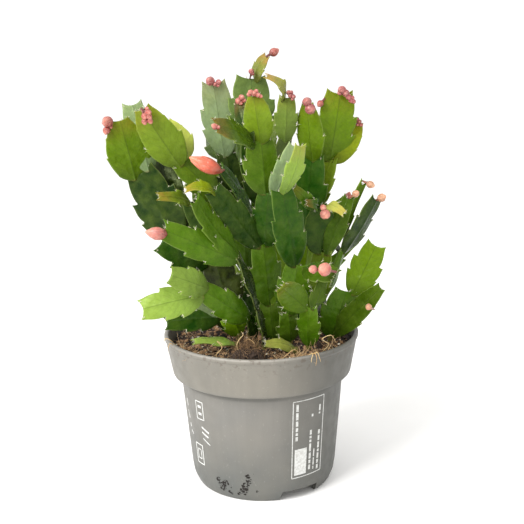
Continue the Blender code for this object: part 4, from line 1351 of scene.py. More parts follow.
@dataclass
class Soil:
    """The compost that fills the pot, with a small mound and a crumbly top."""

    pot: NurseryPot
    top: float = 88.6
    tilt: float = 0.022
    mound: tuple[float, float] = (-5.0, 3.0)
    mound_rise: float = 4.5
    mound_radius: float = 11.0
    edge_drop: float = 1.5
    gap: float = 0.3
    rings: int = 70
    around: int = 220
    relief_mm: float = 1.1

    def height(self, x: float, y: float) -> float:
        """Return the soil's height at a place."""
        waves = 0.9 * math.sin(0.19 * x + 0.8) * math.cos(0.16 * y) + 0.5 * math.sin(0.37 * x - 0.31 * y)
        far = (x - self.mound[0]) ** 2 + (y - self.mound[1]) ** 2
        return self.top + self.tilt * (x - y) + waves + self.mound_rise * math.exp(-far / self.mound_radius ** 2)

    def edge(self) -> float:
        """Return the soil's radius at its top edge."""
        (low_r, low_z), (high_r, high_z) = self.pot.inside()[-2:]
        return low_r - self.gap + (high_r - low_r) * (self.top - self.edge_drop - low_z) / (high_z - low_z)

    def crumbly(self, x: float, y: float, edge: float) -> float:
        """Return the height with crumbs and the drop at the wall."""
        rough = noise.fractal((x / 5.0, y / 5.0, 0.0), 0.7, 2.1, 4)
        far = math.hypot(x, y) / edge
        return self.height(x, y) + self.relief_mm * rough - self.edge_drop * max(0.0, (far - 0.94) / 0.06) ** 2

    def top_rings(self) -> np.ndarray:
        """Return the rings of the top, from the middle out."""
        edge = self.edge()
        turns = np.linspace(0.0, math.tau, self.around, endpoint=False)
        radii = edge * (np.arange(1, self.rings + 1) / self.rings) ** 0.8
        return np.array([[(r * math.cos(t), r * math.sin(t), self.crumbly(r * math.cos(t), r * math.sin(t), edge))
                          for t in turns] for r in radii])

    def host(self, scene: Scene, inner: float, outer: float) -> bpy.types.Mesh:
        """Return the part of the top that scattered bits fall on.

        Args:
            scene: the frame that it is placed in.
            inner: radius beyond which its points lie.
            outer: radius within which its points lie.

        Returns:
            An open mesh, used up by the scatter.
        """
        rings = self.top_rings()[::2, ::2]
        count, around = rings.shape[:2]
        points = rings.reshape(-1, 3)
        faces = [face for face in ring_faces(count, around)
                 if all(inner < math.hypot(points[n][0], points[n][1]) < outer for n in face)]
        mesh = bpy.data.meshes.new("soil_top")
        mesh.from_pydata(scene.place(points), [], faces)
        shape = bmesh.new()
        shape.from_mesh(mesh)
        bmesh.ops.delete(shape, geom=[v for v in shape.verts if not v.link_faces], context="VERTS")
        for face in shape.faces:
            face.normal_update()
            if face.normal.z < 0:
                face.normal_flip()
        shape.to_mesh(mesh)
        shape.free()
        return mesh

    def build(self, scene: Scene) -> None:
        """Make the soil itself.

        Args:
            scene: the frame that it joins.
        """
        side = [(r - self.gap, z) for r, z in self.pot.inside()[3::-1]]
        side[-1] = (side[-1][0], side[-1][1] + self.gap)
        shell = Shell()
        shell.rings(np.concatenate([self.top_rings(), turned_rings(side, self.around)]))
        soil = to_object("compost", shell.mesh("compost", scene, PeatSoil().make()))
        soil.data.set_sharp_from_angle(angle=math.radians(60))
        scene.join(soil, "potting_soil", "soil")


# Patches of the pot's side: degrees right of the front, height and radius.
SPLASHES = ((-34, 8.5, 3.0), (-31, 11.0, 2.2), (-37, 12.5, 1.6), (-14, 11, 2.6), (-11.5, 14.5, 2.0), (-16, 7.5, 2.4),
            (-12, 17.5, 1.4), (-20, 6, 1.0), (-26, 9, 0.8), (-8, 20, 0.6), (-5, 8, 0.7), (-28, 5, 1.0), (-1, 12, 0.5))
SPECKLED = ((0, 45, 26.0), (-40, 45, 24.0), (30, 50, 22.0), (60, 45, 20.0), (95, 48, 24.0), (150, 45, 30.0),
            (-150, 45, 30.0), (-95, 45, 24.0))
# Heaps of fibres on the soil: the middle, the spread along x and y, and how many.
FIBRE_HEAPS = (((28, -44), (9, 3), 150), ((14, -48), (8, 2), 60), ((-44, -28), (6, 5), 80), ((-26, -44), (7, 3), 40),
               ((44, -30), (5, 5), 40))


@dataclass
class SoilLitter:
    """Loose bits on the soil: bark crumbs, perlite, root fibres, the tuft at the front and soil on the pot."""

    soil: Soil
    pot: NurseryPot
    tuft: tuple[float, float] = (-7.5, -45.0)
    tuft_size: tuple[float, float] = (12.5, 7.0)
    tuft_rise: float = 10.0
    patch_corners: int = 12
    patch_ring: float = 3.0

    def tuft_host(self, scene: Scene) -> bpy.types.Mesh:
        """Return the dome that the root tuft's crumbs sit on.

        Args:
            scene: the frame that it is placed in.

        Returns:
            An open mesh.
        """
        x, y = self.tuft
        wide, deep = self.tuft_size
        foot = self.soil.height(x, y)
        turns = np.linspace(0, math.tau, 24, endpoint=False)
        rings = [[(x + wide * share * math.cos(t), y + deep * share * math.sin(t),
                   foot + self.tuft_rise * (1.0 - share ** 2) - 0.5) for t in turns]
                 for share in (1.0, 0.8, 0.6, 0.4, 0.15)]
        shell = Shell()
        shell.rings(np.array(rings), start=Cut.OPEN, end=Cut.FAN)
        mesh = bpy.data.meshes.new("tuft_dome")
        mesh.from_pydata(scene.place(np.vstack(shell.points)), [], shell.faces)
        return mesh

    def wall_host(self, scene: Scene, spots: Sequence[tuple[float, float, float]]) -> bpy.types.Mesh:
        """Return round patches on the pot's side.

        Args:
            scene: the frame that it is placed in.
            spots: each patch's degrees right of the front, height and radius.

        Returns:
            An open mesh.
        """
        points, faces = [], []
        for angle, height, radius in spots:
            first = len(points)
            shares = np.linspace(1.0, 0.0, 2 + int(radius / self.patch_ring))[:-1]
            for share in (*shares, 0.02):
                for turn in np.linspace(0, math.tau, self.patch_corners, endpoint=False):
                    z = height + radius * share * math.sin(turn)
                    around = self.pot.radius_at(z) + 0.05
                    way = math.radians(angle) + radius * share * math.cos(turn) / around
                    points.append((around * math.sin(way), -around * math.cos(way), z))
            faces += [tuple(first + corner for corner in face)
                      for face in ring_faces(len(shares) + 1, self.patch_corners)]
        mesh = bpy.data.meshes.new("splash")
        mesh.from_pydata(scene.place(np.array(points)), [], faces)
        return mesh

    def straws(self, scene: Scene) -> None:
        """Make the few straws that hang over the rim or stand up from the soil, in one piece.

        Args:
            scene: the frame that it joins.
        """
        paths = (
            ((24, -44, 90.5), (27.6, -49, 94.4), (30.2, -52.8, 96.2), (31.2, -53.9, 93.4), (30.6, -53.2, 89.0)),
            ((27, -46, 91), (29.6, -50.6, 95.4), (31.8, -52.6, 96.4), (32.6, -53.2, 94.2), (33.6, -52.6, 91.0)),
            ((22, -43, 91), (26.4, -48.0, 93.4), (29.0, -52.0, 95.8), (28.4, -54.2, 94.0), (28.0, -54.6, 91.6)),
            ((-49, -24, 89), (-52, -27.4, 94.6), (-54, -28.6, 96.0), (-55.4, -28.6, 92.0), (-54.8, -29.0, 87.0)),
            ((-50, -18, 89), (-54, -20, 95.0), (-57.6, -19.6, 96.2), (-58.6, -20.6, 93.0), (-59.0, -19.0, 90.0)),
            ((-12, -44, 93), (-14, -45, 99), (-12.6, -45.6, 103), (-10.2, -46, 106), (-11.4, -46, 108)),
            ((-5, -45, 96), (-4, -46, 100.5), (-7, -46.4, 103.4), (-9.4, -46, 102)),
            ((-24, -44, 90), (-26, -46, 94), (-22.4, -47, 99), (-25, -48, 103), (-21.6, -48, 101)),
            ((36, -34, 91), (39, -39, 97), (35, -42, 101), (40, -44, 104), (43, -42, 99)),
            ((12, -46, 91), (15, -49, 95), (19, -48, 97), (23, -47, 93)))
        shell = Shell()
        fine = np.linspace(0, 1, 26)
        for number, path in enumerate(paths):
            marks = np.linspace(0, 1, len(path))
            line = np.stack([smooth_through(marks, np.array(path)[:, axis], fine) for axis in range(3)], axis=1)
            radii = np.interp(fine, (0, 0.5, 1), (0.26, 0.22, 0.09))
            rings = tube_rings(line, radii, 6)
            shell.rings(rings, shade=np.full(len(rings), 0.35 + 0.6 * (number % 3) / 2.0))
        paint = Litter("dry_straw", "#a87f4d", "#d9c08c").make()
        straws = to_object("rim_straws", shell.mesh("rim_straws", scene, paint))
        scene.join(straws, "potting_soil")

    def build(self, scene: Scene, crumbs: bpy.types.NodeTree, strands: bpy.types.NodeTree) -> None:
        """Make every kind of litter.

        Args:
            scene: the frame that it joins.
            crumbs: the tree that scatters crumbs.
            strands: the tree that grows strands.
        """
        bark = Litter("bark_crumbs", "#1d130c", "#a37c55").make()
        dark = Litter("peat_crumbs", "#0e0906", "#3c2819").make()
        pale = Litter("perlite_grains", "#b9b08a", "#e6e2d2", 0.7).make()
        clump = Litter("root_clump_peat", "#100b07", "#3b2a1c").make()
        splash = Litter("splashed_peat", "#0c0907", "#1e1712").make()
        dry = Litter("dried_specks", "#2e261f", "#a8a49a").make()
        top = (-1.0, 54.0)
        for name, slot, host, paint, kind in (
                ("bark_bits", "potting_soil", self.soil.host(scene, *top), bark,
                 CrumbKind(0.11, 0.8, 3.8, 0.6, 0.9, 2, 3)),
                ("peat_bits", "potting_soil", self.soil.host(scene, *top), dark,
                 CrumbKind(0.42, 0.5, 2.4, 0.8, 0.7, 1, 4)),
                ("rim_bits", "potting_soil", self.soil.host(scene, 44.0, 55.0), bark,
                 CrumbKind(0.22, 0.6, 2.2, 0.7, 0.6, 1, 9)),
                ("perlite_bits", "potting_soil", self.soil.host(scene, *top), pale,
                 CrumbKind(0.034, 0.7, 2.1, 0.9, 0.5, 2, 6)),
                ("root_clump", "potting_soil", self.tuft_host(scene), clump,
                 CrumbKind(2.6, 0.7, 3.2, 0.9, 1.1, 2, 12)),
                ("splashed_soil", "potting_soil", self.wall_host(scene, SPLASHES), splash,
                 CrumbKind(2.0, 0.4, 2.3, 0.25, 0.4, 1, 21)),
                ("wall_specks", "pot_plastic", self.wall_host(scene, SPECKLED), dry,
                 CrumbKind(0.0016, 0.25, 0.8, 0.3, 0.2, 1, 5))):
            scene.join(grown(name, host, crumbs, kind.values(paint)), slot)
        self.fibres(scene, strands)
        self.straws(scene)

    def fibres(self, scene: Scene, tree: bpy.types.NodeTree) -> None:
        """Lay root fibres over the soil and stand the tuft's fibres up.

        Args:
            scene: the frame that they join.
            tree: the tree that grows them.
        """
        rng = np.random.default_rng(8)
        places, aims, reach = [], [], []
        while len(places) < 420:
            turn, far = rng.uniform(0, math.tau), 53.0 * rng.uniform(0, 1) ** 0.5
            x, y = far * math.sin(turn), -far * math.cos(turn)
            places.append((x, y, self.soil.height(x, y) + 0.4))
            aims.append((rng.normal(), rng.normal(), rng.uniform(0.0, 0.5)))
            reach.append(rng.uniform(0.4, 1.0))
        for middle, spread, count in FIBRE_HEAPS:
            for _ in range(count):
                x, y = rng.normal(middle, spread)
                if math.hypot(x, y) < 54.5:
                    places.append((x, y, self.soil.height(x, y) + 0.6))
                    aims.append((rng.normal(), rng.normal(), rng.uniform(0.1, 0.9)))
                    reach.append(rng.uniform(0.4, 0.9))
        paint = Litter("root_fibres", "#8a6440", "#d8b98a").make()
        host = strand_host(scene, np.array(places), np.array(aims), np.array(reach))
        kind = StrandKind(1, 11.0, 0.16, 0.3, 5.0, 0.20)
        scene.join(grown("soil_fibres", host, tree, kind.values(paint)), "potting_soil")
        places, aims, reach = [], [], []
        for _ in range(150):
            x, y = rng.normal(self.tuft, (5.6, 2.4))
            far = math.hypot((x - self.tuft[0]) / 8.0, (y - self.tuft[1]) / 5.0)
            places.append((x, y, self.soil.height(x, y) + self.tuft_rise * max(0.0, 1.0 - far ** 2)))
            aims.append((0.5 * rng.normal(), 0.4 * rng.normal(), 1.0))
            reach.append(rng.uniform(0.35, 1.0))
        paint = Litter("tuft_fibres", "#24170e", "#a8835a").make()
        host = strand_host(scene, np.array(places), np.array(aims), np.array(reach))
        kind = StrandKind(2, 12.0, 0.12, 0.8, 6.0, 0.20)
        scene.join(grown("root_tuft", host, tree, kind.values(paint)), "potting_soil")


def smooth_through(marks: np.ndarray, values: np.ndarray, places: np.ndarray) -> np.ndarray:
    """Interpolate values smoothly through their marks.

    Args:
        marks: where the values are.
        values: the values.
        places: where results are wanted.

    Returns:
        A value for each place.
    """
    slopes = np.gradient(values, marks)
    index = np.clip(np.searchsorted(marks, places) - 1, 0, len(marks) - 2)
    span = marks[index + 1] - marks[index]
    t = (places - marks[index]) / span
    return ((2 * t ** 3 - 3 * t ** 2 + 1) * values[index] + (t ** 3 - 2 * t ** 2 + t) * span * slopes[index]
            + (3 * t ** 2 - 2 * t ** 3) * values[index + 1] + (t ** 3 - t ** 2) * span * slopes[index + 1])


def strand_host(scene: Scene, places: np.ndarray, aims: np.ndarray, reach: np.ndarray) -> bpy.types.Mesh:
    """Return loose points that strands grow on.

    Args:
        scene: the frame that they are placed in.
        places: their places, in millimetres.
        aims: where each tuft points.
        reach: the share of the length that each tuft has.

    Returns:
        A mesh of points with the attributes "aim" and "reach".
    """
    mesh = bpy.data.meshes.new("strand_points")
    mesh.from_pydata(scene.place(places), [], [])
    mesh.attributes.new("aim", "FLOAT_VECTOR", "POINT").data.foreach_set("vector", aims.ravel().astype(np.float32))
    mesh.attributes.new("reach", "FLOAT", "POINT").data.foreach_set("value", reach.ravel().astype(np.float32))
    return mesh


# ----------------------------------------------------------------------- plant

# Pads up to this width, in millimetres, take the small outline.
SMALL_WIDTH = 12.0
# A step back of the outline within this share of the midrib is a notch.
NOTCH_REACH = 0.12
# Shares of a claw's run at which its margin has points, closer at its hook.
CLAW_STEPS = (0.14, 0.3, 0.48, 0.64, 0.78, 0.88, 0.95, 1.0)
# Shares of the half-width at which a pad has points: from its midrib out, and from one margin to the other.
HALF_COLUMNS = np.array((0.0, 0.05, 0.12, 0.24, 0.4, 0.57, 0.73, 0.86, 0.95, 1.0))
COLUMNS = np.concatenate([-HALF_COLUMNS[:0:-1], HALF_COLUMNS])


@dataclass
class GrownPad:
    """A pad in its place: its length and its own axes, in millimetres."""

    pad: Pad
    base: np.ndarray
    length: float
    along: np.ndarray
    face: np.ndarray
    across: np.ndarray

    @classmethod
    def on(cls, pad: Pad, base: np.ndarray) -> "GrownPad":
        """Return a pad that grows from a point.

        Args:
            pad: the pad.
            base: where its midrib starts.

        Returns:
            The pad with its axes.
        """
        reach = Vector(pad.tip) - Vector(base)
        along = reach.normalized()
        face = Vector((0.0, -1.0, 0.0))
        face = (face - face.dot(along) * along).normalized()
        face = Matrix.Rotation(math.radians(pad.turn), 3, along) @ face
        across = face.cross(along) * -1.0
        return cls(pad, np.array(base), reach.length, np.array(along), np.array(face), np.array(across))

    def outline(self) -> PadForm:
        """Return the outline that the pad takes."""
        return PadForm.SMALL if self.pad.width <= SMALL_WIDTH else self.pad.form

    def tip_edge(self, side: float, depth: float) -> np.ndarray:
        """Return the point at a share of the tip edge, sunk by depth into the pad."""
        half = 0.5 * self.pad.width * self.outline().value[-1][2]
        return np.array(self.pad.tip) + self.across * (side * half) - self.along * depth

    def margin(self, rng: np.random.Generator) -> np.ndarray:
        """Return one margin as rows of (midrib place, margin place, half-width share).

        Args:
            rng: gives each claw its own small difference.

        Returns:
            The rows from base to tip, with each claw drawn out and each notch cut in.
        """
        rows = np.array(self.outline().value)
        uneven = rows.copy()
        inner = slice(1, len(rows) - 1)
        uneven[inner, 1] += rng.uniform(-0.014, 0.014, len(rows) - 2)
        uneven[inner, 2] *= 1.0 + rng.uniform(-0.035, 0.035, len(rows) - 2)
        swell, hook = (0.075, 0.045) if self.outline() is PadForm.CLAWED else (0.045, 0.028)
        out = [uneven[0]]
        for index, (low, high) in enumerate(zip(uneven, uneven[1:])):
            notch = high[2] < low[2] and rows[index + 1][0] - rows[index][0] < NOTCH_REACH
            for share in ((0.5, 1.0) if notch else CLAW_STEPS):
                row = low + (high - low) * share
                if notch:
                    row = row - np.array((0.0, 0.0, 0.025 * share))
                else:
                    tail = max(0.0, (share - 0.8) / 0.2) ** 1.5
                    row = row + np.array((0.0, 0.014 * tail, swell * math.sin(math.pi * share) + hook * tail))
                out.append(row)
        return np.array(out)

    def areoles(self) -> list[tuple[np.ndarray, np.ndarray]]:
        """Return the place and aim of each bristle tuft: in the notches and along the tip."""
        rows = self.outline().value
        found = []
        for low, high in zip(rows, rows[1:]):
            if high[2] < low[2] and high[0] - low[0] < NOTCH_REACH:
                for side in (-1.0, 1.0):
                    place = self.point(side * high[2], 0.5 * (low[1] + high[1]) - 0.01, high[2])
                    found.append((place, self.across * side * 0.9 + self.along * 0.7))
        for side in (-0.85, -0.3, 0.3, 0.85):
            found.append((self.tip_edge(side, -0.15), self.along + self.across * side * 0.4))
        return found

    def point(self, share: float, place: float, half_share: float) -> np.ndarray:
        """Return a point of the pad's middle surface."""
        bulge = self.pad.bow * 4.0 * place * (1.0 - place) + self.pad.cup * half_share ** 2
        return (self.base + self.along * (self.length * place) + self.across * (0.5 * self.pad.width * share)
                + self.face * bulge)


@dataclass
class Plant:
    """Every leafy shoot: pads grown on pads, each with a midrib, claws and a thin margin."""

    soil: Soil
    rib_thickness: tuple[float, float] = (3.0, 1.8)
    margin_thickness: float = 0.9
    joint_depth: float = 1.6
    pad_stand: float = 2.0
    pin_radius: float = 2.3
    pin_depth: float = 9.0
    pin_stand: float = 4.0
    rim_round: float = 0.22
    ripple: float = 0.65
    fold: float = 1.1
    tip_pinch: float = 0.55
    tip_cap: float = 0.28
    bark: str = "#5c5030"
    grown_pads: dict[str, dict[str, GrownPad]] = field(default_factory=dict)

    def plan(self, shoot: Shoot) -> dict[str, GrownPad]:
        """Place a shoot's pads.

        Args:
            shoot: the shoot.

        Returns:
            Its pads by path.
        """
        x, y = shoot.root
        found: dict[str, GrownPad] = {}
        for pad in shoot.pads:
            if len(pad.path) == 1:
                base = np.array((x, y, self.soil.height(x, y) + self.pad_stand))
            else:
                base = found[pad.path[:-1]].tip_edge(pad.side, self.joint_depth)
            found[pad.path] = GrownPad.on(pad, base)
        self.grown_pads[shoot.name] = found
        return found

    def row(self, grown_pad: GrownPad, sides: tuple[np.ndarray, np.ndarray], phases: np.ndarray,
            fold: float) -> tuple[np.ndarray, np.ndarray, list[float]]:
        """Return one row of points across a pad.

        Args:
            grown_pad: the pad.
            sides: the left and the right margin's (midrib place, margin place, half-width share).
            phases: where the ripple of each half starts.
            fold: how far the margins are folded to the front, in millimetres.

        Returns:
            The points of its middle surface, its half thickness at each, and their places along it.
        """
        pad = grown_pad.pad
        thick, thin = self.rib_thickness
        margin_half = 0.5 * self.margin_thickness
        middle, half, places = [], [], []
        for s in COLUMNS:
            rib, margin, share = sides[0] if s < 0 else sides[1]
            far = abs(s)
            place = rib + (margin - rib) * far ** 2.2
            wave = self.ripple * math.sin(10.0 * place + phases[int(s > 0)]) * far ** 2 * share
            bulge = (pad.bow * 4.0 * place * (1.0 - place) + pad.cup * share ** 2 * far ** 1.5 + wave
                     + fold * share * far ** 1.2)
            middle.append(grown_pad.base + grown_pad.along * (grown_pad.length * place)
                          + grown_pad.across * (0.5 * pad.width * share * s) + grown_pad.face * bulge)
            rib_half = 0.5 * (thick + (thin - thick) * rib)
            raised = 0.40 * math.exp(-(far / 0.1) ** 2) + 0.60 * (1.0 - far ** 1.6)
            edge = 0.62 if far > 0.99 else 1.0
            half.append(edge * (margin_half + (rib_half - margin_half) * raised))
            places.append(place)
        return np.array(middle), np.array(half)[:, None], places

    def loft(self, shell: Shell, grown_pad: GrownPad, rng: np.random.Generator) -> None:
        """Add one pad's skin to a shoot's mesh: loops round it from its base to its tip, closed at both ends.

        Args:
            shell: the shoot's mesh.
            grown_pad: the pad.
            rng: gives the pad its own small differences.
        """
        pad = grown_pad.pad
        sides = [grown_pad.margin(rng) for _ in range(2)]
        phases = rng.uniform(0.0, math.tau, 2)
        fold = self.fold * rng.choice((-1.0, -0.6, 0.5)) * min(1.0, pad.width / 18.0)
        loops, run = [], []
        for pair in zip(*sides):
            middle, half, places = self.row(grown_pad, pair, phases, fold)
            front, back = middle + grown_pad.face * half, middle - grown_pad.face * half
            left = middle[0] - grown_pad.across * self.rim_round
            right = middle[-1] + grown_pad.across * self.rim_round
            loops.append(np.vstack([front, right, back[::-1], left]))
            run.append(places)
        centre = 0.5 * (front + back)
        loops.append(np.vstack([centre + (front - centre) * self.tip_pinch, right,
                                (centre + (back - centre) * self.tip_pinch)[::-1], left])
                     + grown_pad.along * self.tip_cap)
        count, around = np.array(loops).shape[:2]
        wide = len(COLUMNS)
        faces = ring_faces(count, around)
        for row in (0, count - 1):
            first = row * around
            faces += [(first + n, first + n + 1, first + 2 * wide - 1 - n, first + 2 * wide - n)
                      for n in range(wide - 1)]
            faces += [(first + wide - 1, first + wide, first + wide + 1),
                      (first + 2 * wide + 1, first, first + 2 * wide)]
        run = np.array(run + run[-1:])
        along = np.concatenate([run, run[:, -1:], run[:, ::-1], run[:, :1]], axis=1)
        across = np.tile(np.concatenate([COLUMNS, [1.0], COLUMNS[::-1], [-1.0]]), (count, 1))
        base, tip = (np.array(linear(code)) for code in pad.tone.value)
        # A pad's depth scales its tone: partly its own lightness, partly painted light and shade.
        tint = np.append(pad.depth * (1.0 + rng.uniform(-0.05, 0.05, 3)), 1.0)
        share = np.clip(along, 0.0, 1.0)[..., None]
        skin = (base + (tip - base) * share) * tint
        blush = pad.blush * smooth_step(0.62, 1.02, along) * (0.7 + 0.3 * np.abs(across))
        shell.add(np.array(loops).reshape(-1, 3), faces, skin=skin.reshape(-1, 4), across=across.ravel(),
                  along=along.ravel(), blush=blush.ravel())

    def pin(self, shell: Shell, shoot: Shoot) -> None:
        """Add the woody foot that stands in the soil.

        Args:
            shell: the shoot's mesh.
            shoot: the shoot.
        """
        x, y = shoot.root
        ground = self.soil.height(x, y)
        heights = np.linspace(-self.pin_depth, self.pin_stand, 12)
        path = np.array([(x + 0.25 * math.sin(z), y, ground + z) for z in heights])
        radii = [self.pin_radius * (1.0 - 0.2 * n / 11 + 0.06 * math.sin(2.1 * n)) for n in range(12)]
        plain = np.full(12, 0.5)
        shell.rings(tube_rings(path, radii, 16), skin=np.tile(np.array(linear(self.bark)), (12, 1)), across=plain,
                    along=plain, blush=np.zeros(12))

    def build(self, scene: Scene) -> None:
        """Make every shoot as one piece.

        Args:
            scene: the frame that they join.
        """
        skin = WaxySkin().make()
        for number, shoot in enumerate(SHOOTS):
            rng = np.random.default_rng(100 + number)
            shell = Shell()
            for grown_pad in self.plan(shoot).values():
                self.loft(shell, grown_pad, rng)
            self.pin(shell, shoot)
            name = shoot.name.replace("shoot", "stem")
            piece = to_object(name, shell.mesh(name, scene, skin))
            scene.join(piece, shoot.slot, shoot.name)

    def bristles(self, scene: Scene, strands: bpy.types.NodeTree) -> None:
        """Grow the pale bristles in the notches and at the tips.

        Args:
            scene: the frame that they join.
            strands: the tree that grows them.
        """
        spots = [spot for pads in self.grown_pads.values() for pad in pads.values() for spot in pad.areoles()]
        rng = np.random.default_rng(2)
        places, aims = (np.array(rows) for rows in zip(*spots))
        host = strand_host(scene, places, aims, rng.uniform(0.5, 1.0, len(places)))
        paint = Litter("areole_bristles", "#c9c09a", "#f6f2e2", 0.6).make()
        kind = StrandKind(4, 3.3, 0.11, 0.55, 1.6, 0.5, steps=5, seed=7)
        scene.join(grown("notch_bristles", host, strands, kind.values(paint)), "stem_bright")


# ------------------------------------------------------------------------ buds


@dataclass
class Buds:
    """The young flower buds: wrapped petals on short maroon stalks, a bunch at a time."""

    plant: Plant
    clear: float = 0.6
    around: int = 20
    rows: int = 15
    petalled: float = 2.6
    petal_turn: float = 2.4

    def radius(self, bead: Bead, share: float) -> float:
        """Return a bud's radius at a share of its length: fuller at its foot, and slimmer at a long bud's tip."""
        turn = math.pi * share
        egg = math.sin(turn) ** 0.60 * (1.0 + 0.15 * math.cos(turn))
        point = 1.0 - 0.18 * max(0.0, (share - 0.6) / 0.4) * min(1.0, max(0.0, bead.stretch - 1.15))
        return 0.5 * bead.width * max(0.03, egg) * point

    def colours(self, hue: BudHue, shares: np.ndarray, lift: float = 0.0) -> np.ndarray:
        """Return a colour for each share of a bud's length.

        Args:
            hue: the bud's colours.
            shares: shares of its length.
            lift: how much paler a petal's end is.

        Returns:
            Linear colours, one row each.
        """
        foot, belly, tip = (np.array(linear(code)) for code in hue.value)
        low = smooth_step(0.0, 0.30, shares)[:, None]
        high = smooth_step(0.55, 1.05, shares)[:, None]
        mixed = (foot + (belly - foot) * low) * (1.0 - high) + tip * high
        return mixed + (tip - mixed) * lift * shares[:, None] ** 2

    def petal(self, shell: Shell, bead: Bead, axes: tuple[np.ndarray, np.ndarray, np.ndarray, np.ndarray],
              turn: float, span: tuple[float, float], hue: BudHue) -> None:
        """Wrap one petal round a bud as a thin closed shell.

        Args:
            shell: the bunch's mesh.
            bead: the bud.
            axes: its foot, its direction and two axes across it.
            turn: where round the bud the petal lies, in radians.
            span: shares of the length at which it starts and ends.
            hue: the bud's colours.
        """
        foot, way, first, second = axes
        length = bead.width * bead.stretch
        shares = np.linspace(span[0], span[1], 8)
        rings = []
        for number, share in enumerate(shares):
            part = number / 7.0
            reach = 1.05 * math.sqrt(max(0.0, 1.0 - part ** 2.4)) + 0.02
            proud = 0.035 * bead.width * (0.45 + part)
            ring = []
            for sign in (1.0, -1.0):
                for u in (-1.0, -0.55, 0.0, 0.55, 1.0):
                    angle = turn + sign * u * reach
                    out = self.radius(bead, min(share, 0.97)) + (proud * (1.0 - 0.6 * abs(u)) if sign > 0 else -0.12)
                    side = math.cos(angle) * first + math.sin(angle) * second
                    ring.append(foot + way * (length * share) + side * out)
            rings.append(ring)
        shell.rings(np.array(rings), skin=self.colours(hue, shares, 0.45))

    def bud(self, shell: Shell, bead: Bead, seat: np.ndarray, hue: BudHue, rng: np.random.Generator) -> None:
        """Add one bud and its stalk.

        Args:
            shell: the bunch's mesh.
            bead: the bud.
            seat: where the bunch sprouts.
            hue: its colours.
            rng: gives the bud its own small differences.
        """
        place = np.array(bead.place)
        way = place - seat if bead.aim is None else np.array(bead.aim, float)
        if np.linalg.norm(way) < 0.8:
            way = way + np.array((0.0, -0.6, 0.8))
        way /= np.linalg.norm(way)
        first, second = side_axes(way)
        length = bead.width * bead.stretch
        foot = place - way * (0.5 * length)
        shares = np.concatenate([[0.004], np.linspace(0.03, 0.97, self.rows), [0.996]])
        rings = []
        for share in shares:
            radius = self.radius(bead, share)
            ring = []
            for angle in (math.tau * n / self.around for n in range(self.around)):
                lobe = 1.0 + 0.03 * math.cos(4.0 * angle + 5.0 * share)
                ring.append(foot + way * (length * share)
                            + (math.cos(angle) * first + math.sin(angle) * second) * radius * lobe)
            rings.append(ring)
        shell.rings(np.array(rings), skin=self.colours(hue, shares))
        if bead.width >= self.petalled:
            count = 4 if bead.width < 4.0 else 6 if bead.width < 6.5 else 8
            start = rng.uniform(0.0, math.tau)
            for n in range(count):
                part = n / count
                self.petal(shell, bead, (foot, way, first, second), start + n * self.petal_turn,
                           (0.03 + 0.30 * part, 0.52 + 0.46 * part), hue)
        bend = 0.5 * (seat + foot) + first * rng.uniform(-0.4, 0.4)
        marks = np.linspace(0.0, 1.0, 7)[:, None]
        path = (1 - marks) ** 2 * (seat - way * 1.2) + 2 * marks * (1 - marks) * bend + marks ** 2 * (foot + way * 0.6)
        radii = np.linspace(0.13, 0.19, 7) * min(bead.width, 5.0)
        stalk = np.tile(np.array(linear(hue.value[0])), (7, 1))
        shell.rings(tube_rings(path, radii, 10), skin=stalk)

    def build(self, scene: Scene) -> None:
        """Make every bunch as one piece.

        Args:
            scene: the frame that they join.
        """
        skin = BudSkin().make()
        for number, bunch in enumerate(BUNCHES):
            rng = np.random.default_rng(300 + number)
            pad = self.plant.grown_pads[bunch.shoot][bunch.path]
            seat = pad.tip_edge(bunch.side, bunch.back - self.clear) + pad.face * bunch.lift
            shell = Shell()
            for bead in bunch.beads:
                self.bud(shell, bead, seat, bunch.hue, rng)
            name = bunch.name.replace("buds", "petals").replace("bud_", "petals_")
            piece = to_object(name, shell.mesh(name, scene, skin))
            scene.join(piece, bunch.slot, bunch.name)


# ---------------------------------------------------------------------- studio


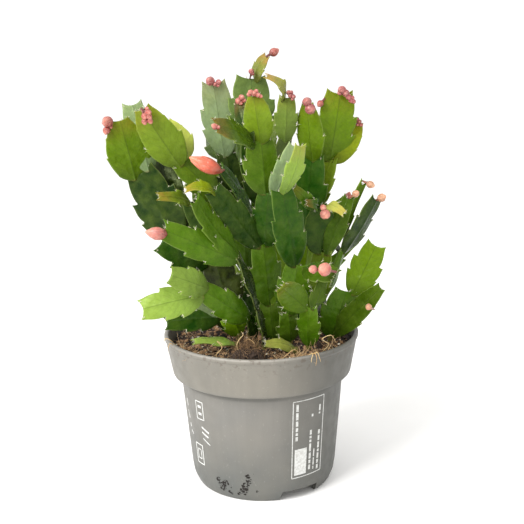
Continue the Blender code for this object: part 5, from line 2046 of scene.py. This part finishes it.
@dataclass
class Studio:
    """A pale seamless floor, soft light from above the front left, and the camera."""

    scene: Scene
    lens: float = 64.7
    stand: Point = (1.4, -560.0, 267.0)
    tilt: float = 77.0
    roll: float = -1.2
    sky: float = 1.12
    floor_radius: float = 3000.0
    floor_corners: int = 96

    def camera(self) -> None:
        """Set the camera up."""
        data = bpy.data.cameras.new("camera")
        data.lens, data.sensor_width = self.lens, 36.0
        camera = bpy.data.objects.new("camera", data)
        bpy.context.scene.collection.objects.link(camera)
        place = Matrix.Translation(Vector(self.scene.place(self.stand)))
        tilt = Matrix.Rotation(math.radians(self.tilt), 4, "X")
        camera.matrix_world = place @ tilt @ Matrix.Rotation(math.radians(self.roll), 4, "Z")
        bpy.context.scene.camera = camera

    def lamp(self, name: str, place: Point, size: float, power: float) -> None:
        """Hang a square soft light that looks at the plant.

        Args:
            name: its name.
            place: where it hangs, in millimetres.
            size: its side in metres.
            power: its power in watts.
        """
        data = bpy.data.lights.new(name, "AREA")
        data.size, data.energy = size, power
        lamp = bpy.data.objects.new(name, data)
        bpy.context.scene.collection.objects.link(lamp)
        start = Vector(self.scene.place(place))
        aim = Vector(self.scene.place((0.0, 0.0, 140.0))) - start
        lamp.matrix_world = Matrix.Translation(start) @ aim.to_track_quat("-Z", "Y").to_matrix().to_4x4()

    def build(self) -> None:
        """Make the floor, the light and the camera."""
        mesh = bpy.data.meshes.new("seamless_floor")
        corners = turned_rings([(self.floor_radius, 0.0)], self.floor_corners)[0]
        mesh.from_pydata(self.scene.place(corners), [], [tuple(range(self.floor_corners))])
        mesh.materials.append(StudioFloor().make())
        to_object("seamless_floor", mesh)
        world = bpy.data.worlds.new("studio")
        world.use_nodes = True
        sky = world.node_tree.nodes["Background"]
        feed(world.node_tree, sky, {"Color": linear("#ffffff"), "Strength": self.sky})
        bpy.context.scene.world = world
        bpy.context.scene.view_settings.view_transform = "Standard"
        self.lamp("key", (-900.0, -850.0, 1150.0), 0.8, 32.0)
        self.lamp("fill", (500.0, -900.0, 1100.0), 1.2, 1.0)
        self.camera()


def main() -> None:
    """Build the pot, the soil, the plant and its buds, and set the studio up."""
    logging.basicConfig(level=logging.INFO, format="%(message)s")
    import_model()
    low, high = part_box("pot")
    scene = Scene(Vector(((low.x + high.x) / 2, (low.y + high.y) / 2, 0.0)))
    Studio(scene).build()
    strands, crumbs = strand_tree(), crumb_tree()
    pot = NurseryPot()
    pot.build(scene)
    PotMarks(pot).build(scene)
    soil = Soil(pot)
    soil.build(scene)
    SoilLitter(soil, pot).build(scene, crumbs, strands)
    plant = Plant(soil)
    plant.build(scene)
    plant.bristles(scene, strands)
    Buds(plant).build(scene)
    LOG.info("whole plant: %d triangles", scene.triangles)


if __name__ == "__main__":
    main()
